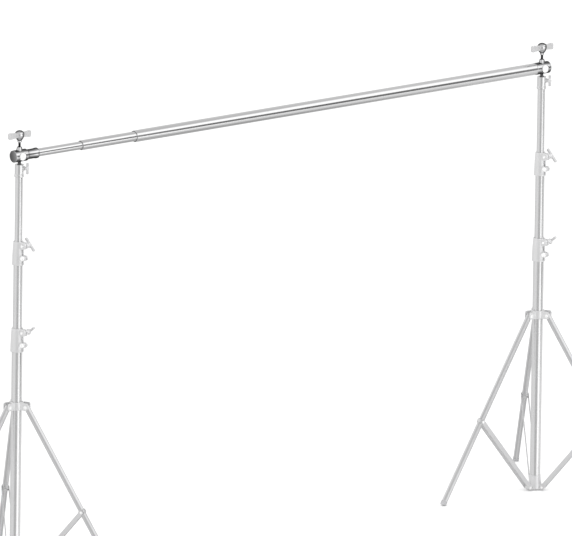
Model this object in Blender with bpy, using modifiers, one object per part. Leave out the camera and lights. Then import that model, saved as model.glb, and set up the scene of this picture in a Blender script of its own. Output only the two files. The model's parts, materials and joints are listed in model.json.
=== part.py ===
"""Background support system: two folding light stands that carry a telescopic crossbar.

Metres, +Z up. The crossbar runs along X and the floor is z = 0. The origin is on the floor, at the
middle of the whole object's box. Each stand is a 35 / 30 / 25 mm tube column with split clamp
collars, a sliding leg collar, three legs and three braces that hinge on a base hub.
Every piece is turned or cut in its own frame, then placed on the stand or on the crossbar.
"""

import math

import bmesh
import bpy
from mathutils import Matrix, Vector

OBJECT = "background_support_system"
GAP = 0.0003
ROUND = 20
ROUND_LEG = 12
ROUND_SMALL = 10

# Overall layout
STAND_SPACING = 2.150
BAR_HEIGHT = 1.407
LEG_AZIMUTHS = (math.radians(180), math.radians(60), math.radians(-60))
EAR_AZIMUTH = math.radians(-80)
SOCKET_KNOB_AZIMUTH = math.radians(-60)
COLLAR_KNOB_AZIMUTH = 0.0

# Stand tubes: outer radius, wall, and the heights of their ends
COLUMN_RADIUS, COLUMN_WALL = 0.0175, 0.0015
COLUMN_BOTTOM, COLUMN_TOP = 0.012, 0.800
MID_RADIUS, MID_WALL = 0.0150, 0.0013
MID_BOTTOM, MID_TOP = 0.365, 1.085
TOP_RADIUS, TOP_WALL = 0.0125, 0.0012
TOP_BOTTOM, TOP_TOP = 0.650, 1.357

# Tripod: a leg hangs from the collar's pivot, and a brace holds it out from the hub's pivot
LEG_ANGLE = math.radians(31)
LEG_RADIUS, LEG_WALL = 0.0095, 0.0013
LEG_LENGTH = 0.680
LEG_PIVOT_REACH = 0.035
LEG_TO_BRACE = 0.380
FOOT_RADIUS, FOOT_HEAD, FOOT_PLUG = 0.0103, 0.014, 0.018
SOLE_CUT = 0.0025
BRACKET_SIZE = (0.0215, 0.0206, 0.014)
PIVOT_RADIUS = 0.003
PIVOT_HOLE_RADIUS = PIVOT_RADIUS + 0.0003
COLLAR_RADIUS, COLLAR_BELOW, COLLAR_ABOVE = 0.023, 0.011, 0.015
COLLAR_EAR, COLLAR_LUG_END = 0.004, 0.0435
HUB_PIVOT_REACH, HUB_PIVOT_HEIGHT = 0.028, 0.011
STRIP_WIDTH, STRIP_THICKNESS, STRIP_INNER = 0.014, 0.002, 0.0108
RIVET_RADIUS, RIVET_HEIGHT = 0.0042, 0.0014

# Clamp collars
CLAMP_HEIGHT = 0.077
CLAMP_WALL_BOTTOM, CLAMP_WALL_TOP = 0.0050, 0.0040
CLAMP_GRIP = 0.035
SLIT = 0.003
EAR_WIDTH = 0.0165
UPPER_EAR_RADIUS, UPPER_EAR_DROP = 0.0115, 0.012
LOWER_EAR_RADIUS, LOWER_EAR_DROP = 0.0085, 0.052
UPPER_EAR_REACH, LOWER_EAR_REACH = 0.0275, 0.0295
WING_TILT = {"lower": math.radians(40), "upper": math.radians(-46)}
BOLT_RADIUS, BOLT_HOLE_RADIUS = 0.004, 0.0043
KNOB_BOSS_RADIUS, KNOB_BOSS_HEIGHT = 0.007, 0.008

# Spigot socket on the top riser, and the spigot that it holds
SOCKET_BOTTOM, SOCKET_TOP = 1.338, 1.379
SOCKET_RADIUS, SOCKET_RIM_RADIUS = 0.0145, 0.0157
SOCKET_KNOB_HEIGHT = SOCKET_TOP - 0.012
SPIGOT_RADIUS, SPIGOT_NECK_RADIUS = 0.0079, 0.0055

# Crossbar: tube radii and walls, and where each tube ends, measured from the left stand's axis
THICK_RADIUS, THICK_WALL = 0.0190, 0.0015
BAR_MID_RADIUS, BAR_MID_WALL = 0.0160, 0.0014
THIN_RADIUS, THIN_WALL = 0.0130, 0.0013
THIN_START, THIN_LENGTH = 0.030, 1.450
BAR_MID_START, BAR_MID_LENGTH = 0.248, 1.500
THICK_START = 0.466
HEAD_RADIUS, HEAD_HALF = 0.0195, 0.025
SLEEVE_RADIUS, SLEEVE_FLARE, SLEEVE_END = 0.0160, 0.0172, 0.070
RIGHT_HEAD_SHOULDER, RIGHT_HEAD_PLUG = 0.031, 0.035
BOSS_RADIUS, BOSS_TOP_RADIUS, BOSS_BASE, BOSS_TOP = 0.0125, 0.0075, 0.0105, 0.029
BARREL_RADIUS, BARREL_HALF = 0.0125, 0.0203
T_STEM_TOP = 0.044
T_STEM_BOTTOM = -0.050

MATERIALS = {
    "satin_stainless": ((0.78, 0.78, 0.79), 0.28, 1.0),
    "polished_stainless": ((0.74, 0.74, 0.75), 0.16, 1.0),
    "cast_alloy": ((0.62, 0.62, 0.63), 0.42, 1.0),
    "chrome_steel": ((0.80, 0.80, 0.82), 0.10, 1.0),
    "black_steel": ((0.05, 0.05, 0.055), 0.45, 1.0),
    "grey_rubber": ((0.34, 0.34, 0.35), 0.75, 0.0),
    "nylon": ((0.15, 0.15, 0.16), 0.55, 0.0),
}


# ---------------------------------------------------------------- scene and helpers


def clear_scene():
    for obj in list(bpy.data.objects):
        bpy.data.objects.remove(obj, do_unlink=True)
    for collection in list(bpy.data.collections):
        bpy.data.collections.remove(collection)


def new_collection(name):
    collection = bpy.data.collections.new(name)
    bpy.context.scene.collection.children.link(collection)
    return collection


def new_material(name):
    colour, roughness, metallic = MATERIALS[name]
    material = bpy.data.materials.new(name)
    material.use_nodes = True
    shader = material.node_tree.nodes["Principled BSDF"]
    shader.inputs["Base Color"].default_value = (*colour, 1.0)
    shader.inputs["Roughness"].default_value = roughness
    shader.inputs["Metallic"].default_value = metallic
    return material


def helper(name, data):
    """A hidden wire object that only serves to shape a piece."""
    obj = bpy.data.objects.new(name, data)
    bpy.data.collections[OBJECT + "_cutters"].objects.link(obj)
    obj.hide_render = True
    obj.display_type = "WIRE"
    return obj


def helper_from(name, mesh_tools, matrix):
    """A helper whose mesh is the bmesh, moved by the matrix."""
    bmesh.ops.transform(mesh_tools, matrix=matrix, verts=mesh_tools.verts)
    mesh = bpy.data.meshes.new(name)
    mesh_tools.to_mesh(mesh)
    mesh_tools.free()
    return helper(name, mesh)


def turn_to(axis):
    """The rotation that takes +Z to the axis."""
    return Vector((0, 0, 1)).rotation_difference(Vector(axis)).to_matrix().to_4x4()


def rod(radius, length, centre=(0, 0, 0), axis=(0, 0, 1), end_radius=None, segments=ROUND):
    """A cylinder or cone about its centre; end_radius is the end that the axis points to."""
    tools = bmesh.new()
    bmesh.ops.create_cone(
        tools,
        cap_ends=True,
        segments=segments,
        radius1=radius,
        radius2=radius if end_radius is None else end_radius,
        depth=length,
    )
    return helper_from("cut_rod", tools, Matrix.Translation(centre) @ turn_to(axis))


def block(size, centre=(0, 0, 0), azimuth=0.0, bevel=0.0):
    """A box with its edges rounded off, turned about Z after it is moved."""
    tools = bmesh.new()
    bmesh.ops.create_cube(tools, size=1.0, matrix=Matrix.Diagonal((*size, 1.0)))
    if bevel:
        bmesh.ops.bevel(
            tools,
            geom=tools.edges[:],
            offset=bevel,
            segments=1,
            affect="EDGES",
        )
    turn = Matrix.Rotation(azimuth, 4, "Z")
    return helper_from("cut_block", tools, turn @ Matrix.Translation(centre))


def turned(profile, segments=ROUND):
    """A solid of revolution. The (radius, height) profile runs down its outer side."""
    mesh = bpy.data.meshes.new("profile")
    points = [(radius, 0.0, height) for radius, height in profile]
    edges = [(i, i + 1) for i in range(len(points) - 1)]
    if profile[0][0] > 0:
        edges.append((len(points) - 1, 0))
    mesh.from_pydata(points, edges, [])
    obj = helper("turned", mesh)
    screw = obj.modifiers.new("Turn", "SCREW")
    screw.axis = "Z"
    screw.steps = segments
    screw.render_steps = segments
    screw.use_merge_vertices = True
    screw.merge_threshold = 0.00001
    return obj


def plate(outline, thickness, matrix=None):
    """A flat plate: the closed (x, y) outline, extruded to both sides of its plane."""
    curve = bpy.data.curves.new("outline", "CURVE")
    curve.dimensions = "2D"
    curve.fill_mode = "BOTH"
    curve.extrude = thickness / 2
    spline = curve.splines.new("POLY")
    spline.points.add(len(outline) - 1)
    for point, (x, y) in zip(spline.points, outline):
        point.co = (x, y, 0.0, 1.0)
    spline.use_cyclic_u = True
    drawn = helper("outline", curve)
    mesh = mesh_of("cut_plate", drawn)
    bpy.data.objects.remove(drawn, do_unlink=True)
    mesh.transform(matrix or Matrix.Identity(4))
    return helper("cut_plate", mesh)


def combine(base, operation, others):
    for other in others:
        modifier = base.modifiers.new(operation.title(), "BOOLEAN")
        modifier.operation = operation
        modifier.solver = "EXACT"
        modifier.object = other


def join(base, *others):
    combine(base, "UNION", others)
    return base


def cut(base, *others):
    combine(base, "DIFFERENCE", others)
    return base


def mesh_of(name, obj):
    """The mesh that the object's modifiers make, welded and shaded smooth between its sharp edges."""
    bpy.context.view_layer.update()
    graph = bpy.context.evaluated_depsgraph_get()
    mesh = bpy.data.meshes.new_from_object(obj.evaluated_get(graph))
    mesh.name = name
    tools = bmesh.new()
    tools.from_mesh(mesh)
    bmesh.ops.remove_doubles(tools, verts=tools.verts, dist=0.000005)
    tools.to_mesh(mesh)
    tools.free()
    mesh.shade_smooth()
    mesh.set_sharp_from_angle(angle=math.radians(35))
    return mesh


def place(name, mesh, material, parent, location=(0, 0, 0), rotation=None):
    """A visible piece. Pieces that share a mesh share its material slot as well."""
    if not mesh.materials:
        mesh.materials.append(bpy.data.materials[material])
    obj = bpy.data.objects.new(name, mesh)
    bpy.data.collections[OBJECT].objects.link(obj)
    obj.parent = parent
    obj.matrix_local = Matrix.Translation(location) @ (rotation or Matrix.Identity(4))
    return obj


def empty(name, parent, location, rotation=None):
    obj = bpy.data.objects.new(name, None)
    obj.empty_display_size = 0.03
    bpy.data.collections[OBJECT].objects.link(obj)
    obj.parent = parent
    obj.matrix_local = Matrix.Translation(location) @ (rotation or Matrix.Identity(4))
    return obj


def arc(centre, radius, start, end, steps):
    """Points along an arc, in degrees, both ends included."""
    angles = [math.radians(start + (end - start) * i / steps) for i in range(steps + 1)]
    return [(centre[0] + radius * math.cos(a), centre[1] + radius * math.sin(a)) for a in angles]


# ---------------------------------------------------------------- fold geometry


def leg_point(along):
    """(reach, height) of the point this far down the leg from its pivot."""
    reach = LEG_PIVOT_REACH + along * math.sin(LEG_ANGLE)
    return reach, leg_pivot_height() - along * math.cos(LEG_ANGLE)


def leg_pivot_height():
    """The height at which the foot's cut sole rests on the floor."""
    lowest_corner = LEG_LENGTH * math.cos(LEG_ANGLE) + FOOT_RADIUS * math.sin(LEG_ANGLE)
    return lowest_corner - SOLE_CUT


def brace_length_and_angle():
    reach, height = leg_point(LEG_TO_BRACE)
    out, up = reach - HUB_PIVOT_REACH, height - HUB_PIVOT_HEIGHT
    return math.hypot(out, up), math.atan2(out, up)


def left_stand_x():
    """Where the left stand stands, so that the whole object's box is centred on x = 0."""
    end_reach = LEG_PIVOT_REACH + LEG_LENGTH * math.sin(LEG_ANGLE)
    out = FOOT_RADIUS * math.cos(LEG_ANGLE)
    lowest_x = -(end_reach + out)
    half = math.cos(LEG_AZIMUTHS[1])
    across = math.sin(LEG_AZIMUTHS[1])
    highest_x = STAND_SPACING + half * end_reach + math.hypot(half * out, across * FOOT_RADIUS)
    return -(lowest_x + highest_x) / 2


# ---------------------------------------------------------------- tubes


def tube_mesh(name, radius, wall, length, segments=ROUND):
    profile = [(radius, length), (radius, 0), (radius - wall, 0), (radius - wall, length)]
    return mesh_of(name, turned(profile, segments))


# ---------------------------------------------------------------- tripod pieces


def leg_mesh():
    """A tube that hangs down -Z from its pivot, with a solid rounded top and a brace bracket."""
    end = -(LEG_LENGTH - FOOT_HEAD - GAP)
    dome = arc((0, 0), LEG_RADIUS, 90, 0, 3)
    bore = LEG_RADIUS - LEG_WALL
    solid = turned([(0.0, LEG_RADIUS), *dome[1:], (LEG_RADIUS, end), (0.0, end)], ROUND_LEG)
    bracket = block(BRACKET_SIZE, (0, 0, -LEG_TO_BRACE), bevel=0.003)
    bore_top = -0.016
    bore_rod = rod(bore, LEG_LENGTH, (0, 0, bore_top - LEG_LENGTH / 2), segments=ROUND_LEG)
    hole = rod(PIVOT_HOLE_RADIUS, 4 * LEG_RADIUS, axis=(0, 1, 0), segments=ROUND_SMALL)
    return mesh_of("leg", cut(join(solid, bracket), bore_rod, hole))


def foot_mesh():
    """An end plug for the leg, cut flat where it stands on the floor."""
    edge = 0.002
    plug = LEG_RADIUS - LEG_WALL - GAP
    head_top = -(LEG_LENGTH - FOOT_HEAD)
    bottom = -LEG_LENGTH
    profile = [
        (0.0, head_top + FOOT_PLUG),
        (plug, head_top + FOOT_PLUG),
        (plug, head_top),
        (FOOT_RADIUS, head_top),
        (FOOT_RADIUS, bottom + edge),
        (FOOT_RADIUS - edge, bottom),
        (0.0, bottom),
    ]
    mesh = mesh_of("foot", turned(profile, ROUND_LEG))
    up = Vector((math.sin(LEG_ANGLE), 0, math.cos(LEG_ANGLE)))
    tools = bmesh.new()
    tools.from_mesh(mesh)
    sliced = bmesh.ops.bisect_plane(
        tools,
        geom=tools.verts[:] + tools.edges[:] + tools.faces[:],
        plane_co=-leg_pivot_height() * up,
        plane_no=-up,
        clear_outer=True,
    )
    rim = [part for part in sliced["geom_cut"] if isinstance(part, bmesh.types.BMEdge)]
    bmesh.ops.edgeloop_fill(tools, edges=rim)
    bmesh.ops.recalc_face_normals(tools, faces=tools.faces)
    tools.to_mesh(mesh)
    tools.free()
    return mesh


def strip(length, side):
    """One flat strip of a brace, along +Z from the hub's pivot, on one side of the leg."""
    half = STRIP_WIDTH / 2
    outline = arc((0, 0), half, 180, 360, 4) + arc((0, length), half, 0, 180, 4)
    middle = side * (STRIP_INNER + STRIP_THICKNESS / 2)
    stand_up = Matrix.Translation((0, middle, 0)) @ Matrix.Rotation(math.pi / 2, 4, "X")
    return plate(outline, STRIP_THICKNESS, stand_up)


def rivet_head(height, side, face):
    """A rivet's head on the outer face of a strip or an ear."""
    sunk = 0.0005
    centre = side * (face + (RIVET_HEIGHT - sunk) / 2)
    return rod(
        RIVET_RADIUS,
        RIVET_HEIGHT + sunk,
        (0, centre, height),
        axis=(0, side, 0),
        end_radius=RIVET_RADIUS * 0.6,
        segments=8,
    )


def brace_mesh():
    """Two strips held apart by the pin that turns in the hub's lug."""
    length, _ = brace_length_and_angle()
    face = STRIP_INNER + STRIP_THICKNESS
    pin = rod(PIVOT_RADIUS, 2 * face - STRIP_THICKNESS, axis=(0, 1, 0), segments=ROUND_SMALL)
    heads = [rivet_head(height, side, face) for height in (0, length) for side in (-1, 1)]
    return mesh_of("brace", join(pin, strip(length, -1), strip(length, 1), *heads))


def base_hub_mesh():
    """The casting at the foot of the column, with a lug for each brace."""
    bottom, flange_top, cone_top = 0.003, 0.021, 0.050
    body_radius, edge, lip = 0.0215, 0.002, 0.0008
    bore = COLUMN_RADIUS + GAP
    floor = COLUMN_BOTTOM - GAP
    profile = [
        (0.0, floor),
        (bore, floor),
        (bore, cone_top),
        (bore + lip, cone_top),
        (body_radius, flange_top),
        (body_radius, bottom + edge),
        (body_radius - edge, bottom),
        (0.0, bottom),
    ]
    hub = turned(profile)
    half_width = STRIP_INNER - 0.0005
    lug_radius, lug_start = 0.0075, 0.0192
    outline = arc((HUB_PIVOT_REACH, HUB_PIVOT_HEIGHT), lug_radius, -90, 90, 6)
    outline += [
        (lug_start, HUB_PIVOT_HEIGHT + lug_radius),
        (lug_start, HUB_PIVOT_HEIGHT - lug_radius),
    ]
    ways = [Matrix.Rotation(azimuth, 4, "Z") for azimuth in LEG_AZIMUTHS]
    stand_up = Matrix.Rotation(math.pi / 2, 4, "X")
    for way in ways:
        join(hub, plate(outline, 2 * half_width, way @ stand_up))
    for way in ways:
        pivot = way @ Vector((HUB_PIVOT_REACH, 0, HUB_PIVOT_HEIGHT))
        across = way @ Vector((0, 1, 0))
        cut(hub, rod(PIVOT_HOLE_RADIUS, 4 * half_width, pivot, across, segments=ROUND_SMALL))
    return mesh_of("base_hub", hub)


def leg_collar_mesh():
    """The ring that slides on the column, with a slotted lug and a pin for each leg."""
    height = COLLAR_ABOVE + COLLAR_BELOW
    middle = (COLLAR_ABOVE - COLLAR_BELOW) / 2
    slot_half = LEG_RADIUS + 0.0004
    slot_floor = COLLAR_RADIUS + 0.0008
    slot_depth = 0.040
    lug_start = 0.012
    lug_reach = COLLAR_LUG_END - lug_start
    face = slot_half + COLLAR_EAR
    collar = rod(COLLAR_RADIUS, height, (0, 0, middle))
    lugs, slots, pins = [], [], []
    for azimuth in LEG_AZIMUTHS:
        way = Matrix.Rotation(azimuth, 4, "Z")
        lug_size = (lug_reach, 2 * face, height - 0.001)
        lugs.append(block(lug_size, (lug_start + lug_reach / 2, 0, middle), azimuth, bevel=0.0025))
        slot_size = (slot_depth, 2 * slot_half, 2 * height)
        slots.append(block(slot_size, (slot_floor + slot_depth / 2, 0, middle), azimuth))
        pivot = way @ Vector((LEG_PIVOT_REACH, 0, 0))
        across = way @ Vector((0, 1, 0))
        pins.append(rod(PIVOT_RADIUS, 2 * face - COLLAR_EAR, pivot, across, segments=ROUND_SMALL))
        pins += [pin_head(pivot, side * across, face) for side in (-1, 1)]
    bore = rod(COLUMN_RADIUS + 0.0004, 3 * height, (0, 0, middle))
    boss, hole = knob_boss_and_hole(COLLAR_KNOB_AZIMUTH, COLLAR_RADIUS, 0.0)
    join(collar, *lugs, boss)
    cut(collar, *slots, bore, hole)
    return mesh_of("leg_collar", join(collar, *pins))


def pin_head(pivot, way, face):
    """The head of a leg pin on the outer face of an ear."""
    radius, top_radius, height, sunk = 0.0052, 0.0038, 0.0019, 0.0007
    centre = pivot + (face + (height - sunk) / 2) * way
    return rod(radius, height + sunk, centre, way, end_radius=top_radius, segments=8)


def knob_boss_and_hole(azimuth, ring_radius, height):
    """The boss on a ring, and the hole through it, for a screw that points at the ring's axis."""
    way = Vector((math.cos(azimuth), math.sin(azimuth), 0))
    up = Vector((0, 0, height))
    middle = ring_radius + 0.001
    boss = rod(KNOB_BOSS_RADIUS, KNOB_BOSS_HEIGHT, middle * way + up, way, segments=ROUND_LEG)
    hole_length = 0.030
    start = middle - KNOB_BOSS_HEIGHT - 0.001
    centre = (start + hole_length / 2) * way + up
    return boss, rod(BOLT_HOLE_RADIUS, hole_length, centre, way, segments=ROUND_LEG)


# ---------------------------------------------------------------- clamps and knobs


def clamp_mesh(name, lower_radius, upper_radius):
    """A split collar: it holds the lower tube for good and grips the upper tube that slides in it.

    Its frame has z = 0 at the end of the lower tube, and its ears point along +X.
    """
    bottom, top = -CLAMP_GRIP, CLAMP_HEIGHT - CLAMP_GRIP
    lower_bore, upper_bore = lower_radius + GAP, upper_radius + GAP
    profile = [
        (upper_radius + CLAMP_WALL_TOP, top),
        (lower_radius + CLAMP_WALL_BOTTOM - 0.001, 0.0),
        (lower_radius + CLAMP_WALL_BOTTOM, bottom),
        (lower_bore, bottom),
        (lower_bore, GAP),
        (upper_bore, GAP),
        (upper_bore, top),
    ]
    body = turned(profile)
    ears = []
    holes = []
    shift = lower_radius - COLUMN_RADIUS
    for ear_radius, drop, reach in (
        (UPPER_EAR_RADIUS, UPPER_EAR_DROP, UPPER_EAR_REACH + shift),
        (LOWER_EAR_RADIUS, LOWER_EAR_DROP, LOWER_EAR_REACH + shift),
    ):
        height = top - drop
        inner = lower_bore + 0.0012
        neck = (reach - inner, EAR_WIDTH - 0.001, 2 * ear_radius - 0.001)
        ears.append(block(neck, ((reach + inner) / 2, 0, height)))
        ears.append(rod(ear_radius, EAR_WIDTH, (reach, 0, height), (0, 1, 0), segments=ROUND_LEG))
        hole_length = 3 * EAR_WIDTH
        holes.append(
            rod(BOLT_HOLE_RADIUS, hole_length, (reach, 0, height), (0, 1, 0), segments=ROUND_SMALL)
        )
    slit_length = 0.060
    slit = block((slit_length, SLIT, 2 * CLAMP_HEIGHT), (slit_length / 2, 0, 0))
    return mesh_of(name, cut(join(body, *ears), slit, *holes))


def hex_bolt_mesh():
    """An M8 bolt along Y with its nut run on, so both are one piece."""
    half = EAR_WIDTH / 2 + GAP
    corner_radius, head_height, nut_height, thread_end = 0.0075, 0.0055, 0.0060, 0.0020
    head = rod(corner_radius, head_height, (0, half + head_height / 2, 0), (0, 1, 0), segments=6)
    nut = rod(corner_radius, nut_height, (0, -half - nut_height / 2, 0), (0, 1, 0), segments=6)
    low, high = -half - nut_height - thread_end, half + head_height / 2
    middle = (0, (low + high) / 2, 0)
    shank = rod(BOLT_RADIUS, high - low, middle, (0, 1, 0), segments=ROUND_SMALL)
    return mesh_of("clamp_bolt", join(shank, head, nut))


def knob_outline(span, height, waist):
    """Half-turn symmetric outline of a pair of wings, seen from the side."""
    tip = height / 2
    corner = tip * 0.55
    right = [(span * 0.16, -waist), (span / 2 - corner, -tip)]
    right += arc((span / 2 - corner, -tip + corner), corner, -90, 0, 2)[1:]
    right += arc((span / 2 - corner, tip - corner), corner, 0, 90, 2)
    right += [(span * 0.16, waist)]
    return right + [(-x, -y) for x, y in right]


def wing_knob_mesh(name, hub_radius, hub_height, neck, span, wing, seat, stem, segments):
    """A knob on a screw: an egg-shaped hub with two wings. The screw points down -Z.

    wing is (height, thickness, height of its middle); seat is where the hub starts; stem is
    (radius, lowest point).
    """
    wing_height, wing_thickness, wing_middle = wing
    stem_radius, stem_end = stem
    top = seat + hub_height
    dome = 0.75 * hub_radius
    belly, throat = top - dome, seat + hub_height * 0.16
    neck_angle = math.acos(neck / hub_radius)
    taper = (belly - throat) / math.sin(neck_angle)
    profile = [(0.0, top)]
    for x, z in arc((0, 0), 1.0, 90, 0, 3)[1:]:
        profile.append((hub_radius * x, belly + dome * z))
    for x, z in arc((0, 0), 1.0, 0, -math.degrees(neck_angle), 2)[1:]:
        profile.append((hub_radius * x, belly + taper * z))
    profile += [
        (neck, seat),
        (stem_radius, seat),
        (stem_radius, stem_end),
        (0.0, stem_end),
    ]
    hub = turned(profile, segments)
    stand_up = Matrix.Translation((0, 0, wing_middle)) @ Matrix.Rotation(math.pi / 2, 4, "X")
    outline = knob_outline(span, wing_height, wing_height * 0.4)
    return mesh_of(name, join(hub, plate(outline, wing_thickness, stand_up)))


def clamp_knob_mesh():
    half = EAR_WIDTH / 2
    return wing_knob_mesh(
        "clamp_wing_knob",
        hub_radius=0.0095,
        hub_height=0.022,
        neck=0.0065,
        span=0.052,
        wing=(0.010, 0.0065, half + 0.0195),
        seat=half + GAP,
        stem=(BOLT_RADIUS, -half - 0.004),
        segments=ROUND_SMALL,
    )


def radial_knob_mesh(name, pressed_radius, ring_radius):
    """The smaller knob of a screw that points at a round part's axis; its frame is on that axis."""
    seat = ring_radius + 0.001 + KNOB_BOSS_HEIGHT / 2 + GAP
    tip = pressed_radius + 0.0006
    return wing_knob_mesh(
        name,
        hub_radius=0.0080,
        hub_height=0.014,
        neck=0.0055,
        span=0.036,
        wing=(0.009, 0.0055, seat + 0.0085),
        seat=seat,
        stem=(BOLT_RADIUS, tip),
        segments=ROUND_SMALL,
    )


# ---------------------------------------------------------------- spigot socket


def spigot_socket_mesh():
    """The receiver on the top riser: the tube goes in from below and the spigot from above."""
    tube_bore, spigot_bore = TOP_RADIUS + GAP, SPIGOT_RADIUS + GAP
    rim_top = SOCKET_BOTTOM + 0.007
    profile = [
        (SOCKET_RADIUS - 0.001, SOCKET_TOP),
        (SOCKET_RADIUS, SOCKET_TOP - 0.001),
        (SOCKET_RADIUS, rim_top + 0.001),
        (SOCKET_RIM_RADIUS, rim_top),
        (SOCKET_RIM_RADIUS, SOCKET_BOTTOM),
        (tube_bore, SOCKET_BOTTOM),
        (tube_bore, TOP_TOP + GAP),
        (spigot_bore, TOP_TOP + GAP),
        (spigot_bore, SOCKET_TOP),
    ]
    boss, hole = knob_boss_and_hole(SOCKET_KNOB_AZIMUTH, SOCKET_RADIUS, SOCKET_KNOB_HEIGHT)
    return mesh_of("spigot_socket", cut(join(turned(profile), boss), hole))


def spigot_mesh():
    """The 16 mm stud and its threaded neck, bored for the crossbar's bolt."""
    neck_top = BAR_HEIGHT - HEAD_RADIUS - GAP
    bore = BOLT_HOLE_RADIUS
    profile = [
        (SPIGOT_NECK_RADIUS, neck_top),
        (SPIGOT_NECK_RADIUS, SOCKET_TOP + 0.0015),
        (SPIGOT_RADIUS, SOCKET_TOP + 0.0005),
        (SPIGOT_RADIUS, TOP_TOP + 0.001),
        (bore, TOP_TOP + 0.001),
        (bore, neck_top),
    ]
    return mesh_of("spigot", turned(profile, 16))


# ---------------------------------------------------------------- crossbar heads


def drilled_head(name, solid, *others):
    """A head with its boss, its cross bore for the barrel and its hole for the T-handle bolt."""
    length = BOSS_TOP - BOSS_BASE
    middle = (0, 0, BOSS_BASE + length / 2)
    boss = rod(BOSS_RADIUS, length, middle, end_radius=BOSS_TOP_RADIUS, segments=16)
    cross = rod(BARREL_RADIUS + GAP, 4 * HEAD_RADIUS, axis=(0, 1, 0))
    hole = rod(BOLT_HOLE_RADIUS, 4 * HEAD_RADIUS, segments=ROUND_SMALL)
    return mesh_of(name, cut(join(solid, boss), *others, cross, hole))


def left_head_mesh():
    """The head that grips the thin tube: a body, a flared sleeve and the tube's bore."""
    bore = THIN_RADIUS + GAP
    profile = [
        (0.0, SLEEVE_END),
        (SLEEVE_FLARE, SLEEVE_END),
        (SLEEVE_FLARE, SLEEVE_END - 0.008),
        (SLEEVE_RADIUS, SLEEVE_END - 0.014),
        (SLEEVE_RADIUS, HEAD_HALF + 0.003),
        (HEAD_RADIUS, HEAD_HALF),
        (HEAD_RADIUS, -HEAD_HALF + 0.001),
        (HEAD_RADIUS - 0.001, -HEAD_HALF),
        (0.0, -HEAD_HALF),
    ]
    solid = laid_along_x(turned(profile))
    depth = SLEEVE_END - (THIN_START - GAP)
    tube_bore = rod(bore, 2 * depth, (SLEEVE_END, 0, 0), (1, 0, 0))
    return drilled_head("left_head", solid, tube_bore)


def right_head_mesh():
    """The head that plugs into the thick tube. Its frame is on the right stand's axis."""
    plug = THICK_RADIUS - THICK_WALL - GAP
    profile = [
        (0.0, HEAD_HALF),
        (HEAD_RADIUS - 0.001, HEAD_HALF),
        (HEAD_RADIUS, HEAD_HALF - 0.001),
        (HEAD_RADIUS, -RIGHT_HEAD_SHOULDER),
        (plug, -RIGHT_HEAD_SHOULDER),
        (plug, -RIGHT_HEAD_SHOULDER - RIGHT_HEAD_PLUG),
        (0.0, -RIGHT_HEAD_SHOULDER - RIGHT_HEAD_PLUG),
    ]
    return drilled_head("right_head", laid_along_x(turned(profile)))


def laid_along_x(obj):
    """The turned object as a mesh whose axis is X, its top towards +X."""
    mesh = mesh_of("laid", obj)
    mesh.transform(Matrix.Rotation(math.pi / 2, 4, "Y"))
    return helper("laid", mesh)


def cross_barrel_mesh():
    """The barrel nut across the head, with polished flat ends."""
    edge = 0.0008
    profile = [
        (0.0, BARREL_HALF),
        (BARREL_RADIUS - edge, BARREL_HALF),
        (BARREL_RADIUS, BARREL_HALF - edge),
        (BARREL_RADIUS, -BARREL_HALF + edge),
        (BARREL_RADIUS - edge, -BARREL_HALF),
        (0.0, -BARREL_HALF),
    ]
    mesh = mesh_of("barrel_blank", turned(profile))
    mesh.transform(Matrix.Rotation(math.pi / 2, 4, "X"))
    hole = rod(BOLT_HOLE_RADIUS, 4 * HEAD_RADIUS, segments=ROUND_SMALL)
    return mesh_of("cross_barrel", cut(helper("barrel_blank", mesh), hole))


def t_bolt_mesh():
    """The long bolt with a winged handle that pulls a head down on its spigot."""
    return wing_knob_mesh(
        "t_handle_bolt",
        hub_radius=0.0150,
        hub_height=0.039,
        neck=0.0065,
        span=0.088,
        wing=(0.021, 0.0095, T_STEM_TOP + 0.0235),
        seat=T_STEM_TOP,
        stem=(BOLT_RADIUS, T_STEM_BOTTOM),
        segments=16,
    )


def twist_lock_mesh(name, inner_bore, outer_bore):
    """The expanding plug on a tube's hidden end: a stem in that tube and a head in the next one."""
    stem, head = inner_bore - GAP, outer_bore - GAP
    head_end, head_start, stem_end, edge = 0.022, 0.003, -0.025, 0.0015
    profile = [
        (0.0, head_end),
        (head - edge, head_end),
        (head, head_end - edge),
        (head, head_start),
        (stem, GAP),
        (stem, stem_end),
        (0.0, stem_end),
    ]
    return mesh_of(name, laid_along_x(turned(profile, 16)))


# ---------------------------------------------------------------- assembly


def stand_meshes():
    """Every mesh that both stands share."""
    return {
        "column_tube": tube_mesh(
            "column_tube", COLUMN_RADIUS, COLUMN_WALL, COLUMN_TOP - COLUMN_BOTTOM
        ),
        "mid_riser_tube": tube_mesh("mid_riser_tube", MID_RADIUS, MID_WALL, MID_TOP - MID_BOTTOM),
        "top_riser_tube": tube_mesh("top_riser_tube", TOP_RADIUS, TOP_WALL, TOP_TOP - TOP_BOTTOM),
        "base_hub": base_hub_mesh(),
        "leg_collar": leg_collar_mesh(),
        "leg": leg_mesh(),
        "foot": foot_mesh(),
        "brace": brace_mesh(),
        "lower_clamp": clamp_mesh("lower_clamp", COLUMN_RADIUS, MID_RADIUS),
        "upper_clamp": clamp_mesh("upper_clamp", MID_RADIUS, TOP_RADIUS),
        "clamp_bolt": hex_bolt_mesh(),
        "clamp_wing_knob": clamp_knob_mesh(),
        "collar_wing_knob": radial_knob_mesh("collar_wing_knob", COLUMN_RADIUS, COLLAR_RADIUS),
        "socket_wing_knob": radial_knob_mesh("socket_wing_knob", SPIGOT_RADIUS, SOCKET_RADIUS),
        "spigot_socket": spigot_socket_mesh(),
        "spigot": spigot_mesh(),
    }


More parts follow.
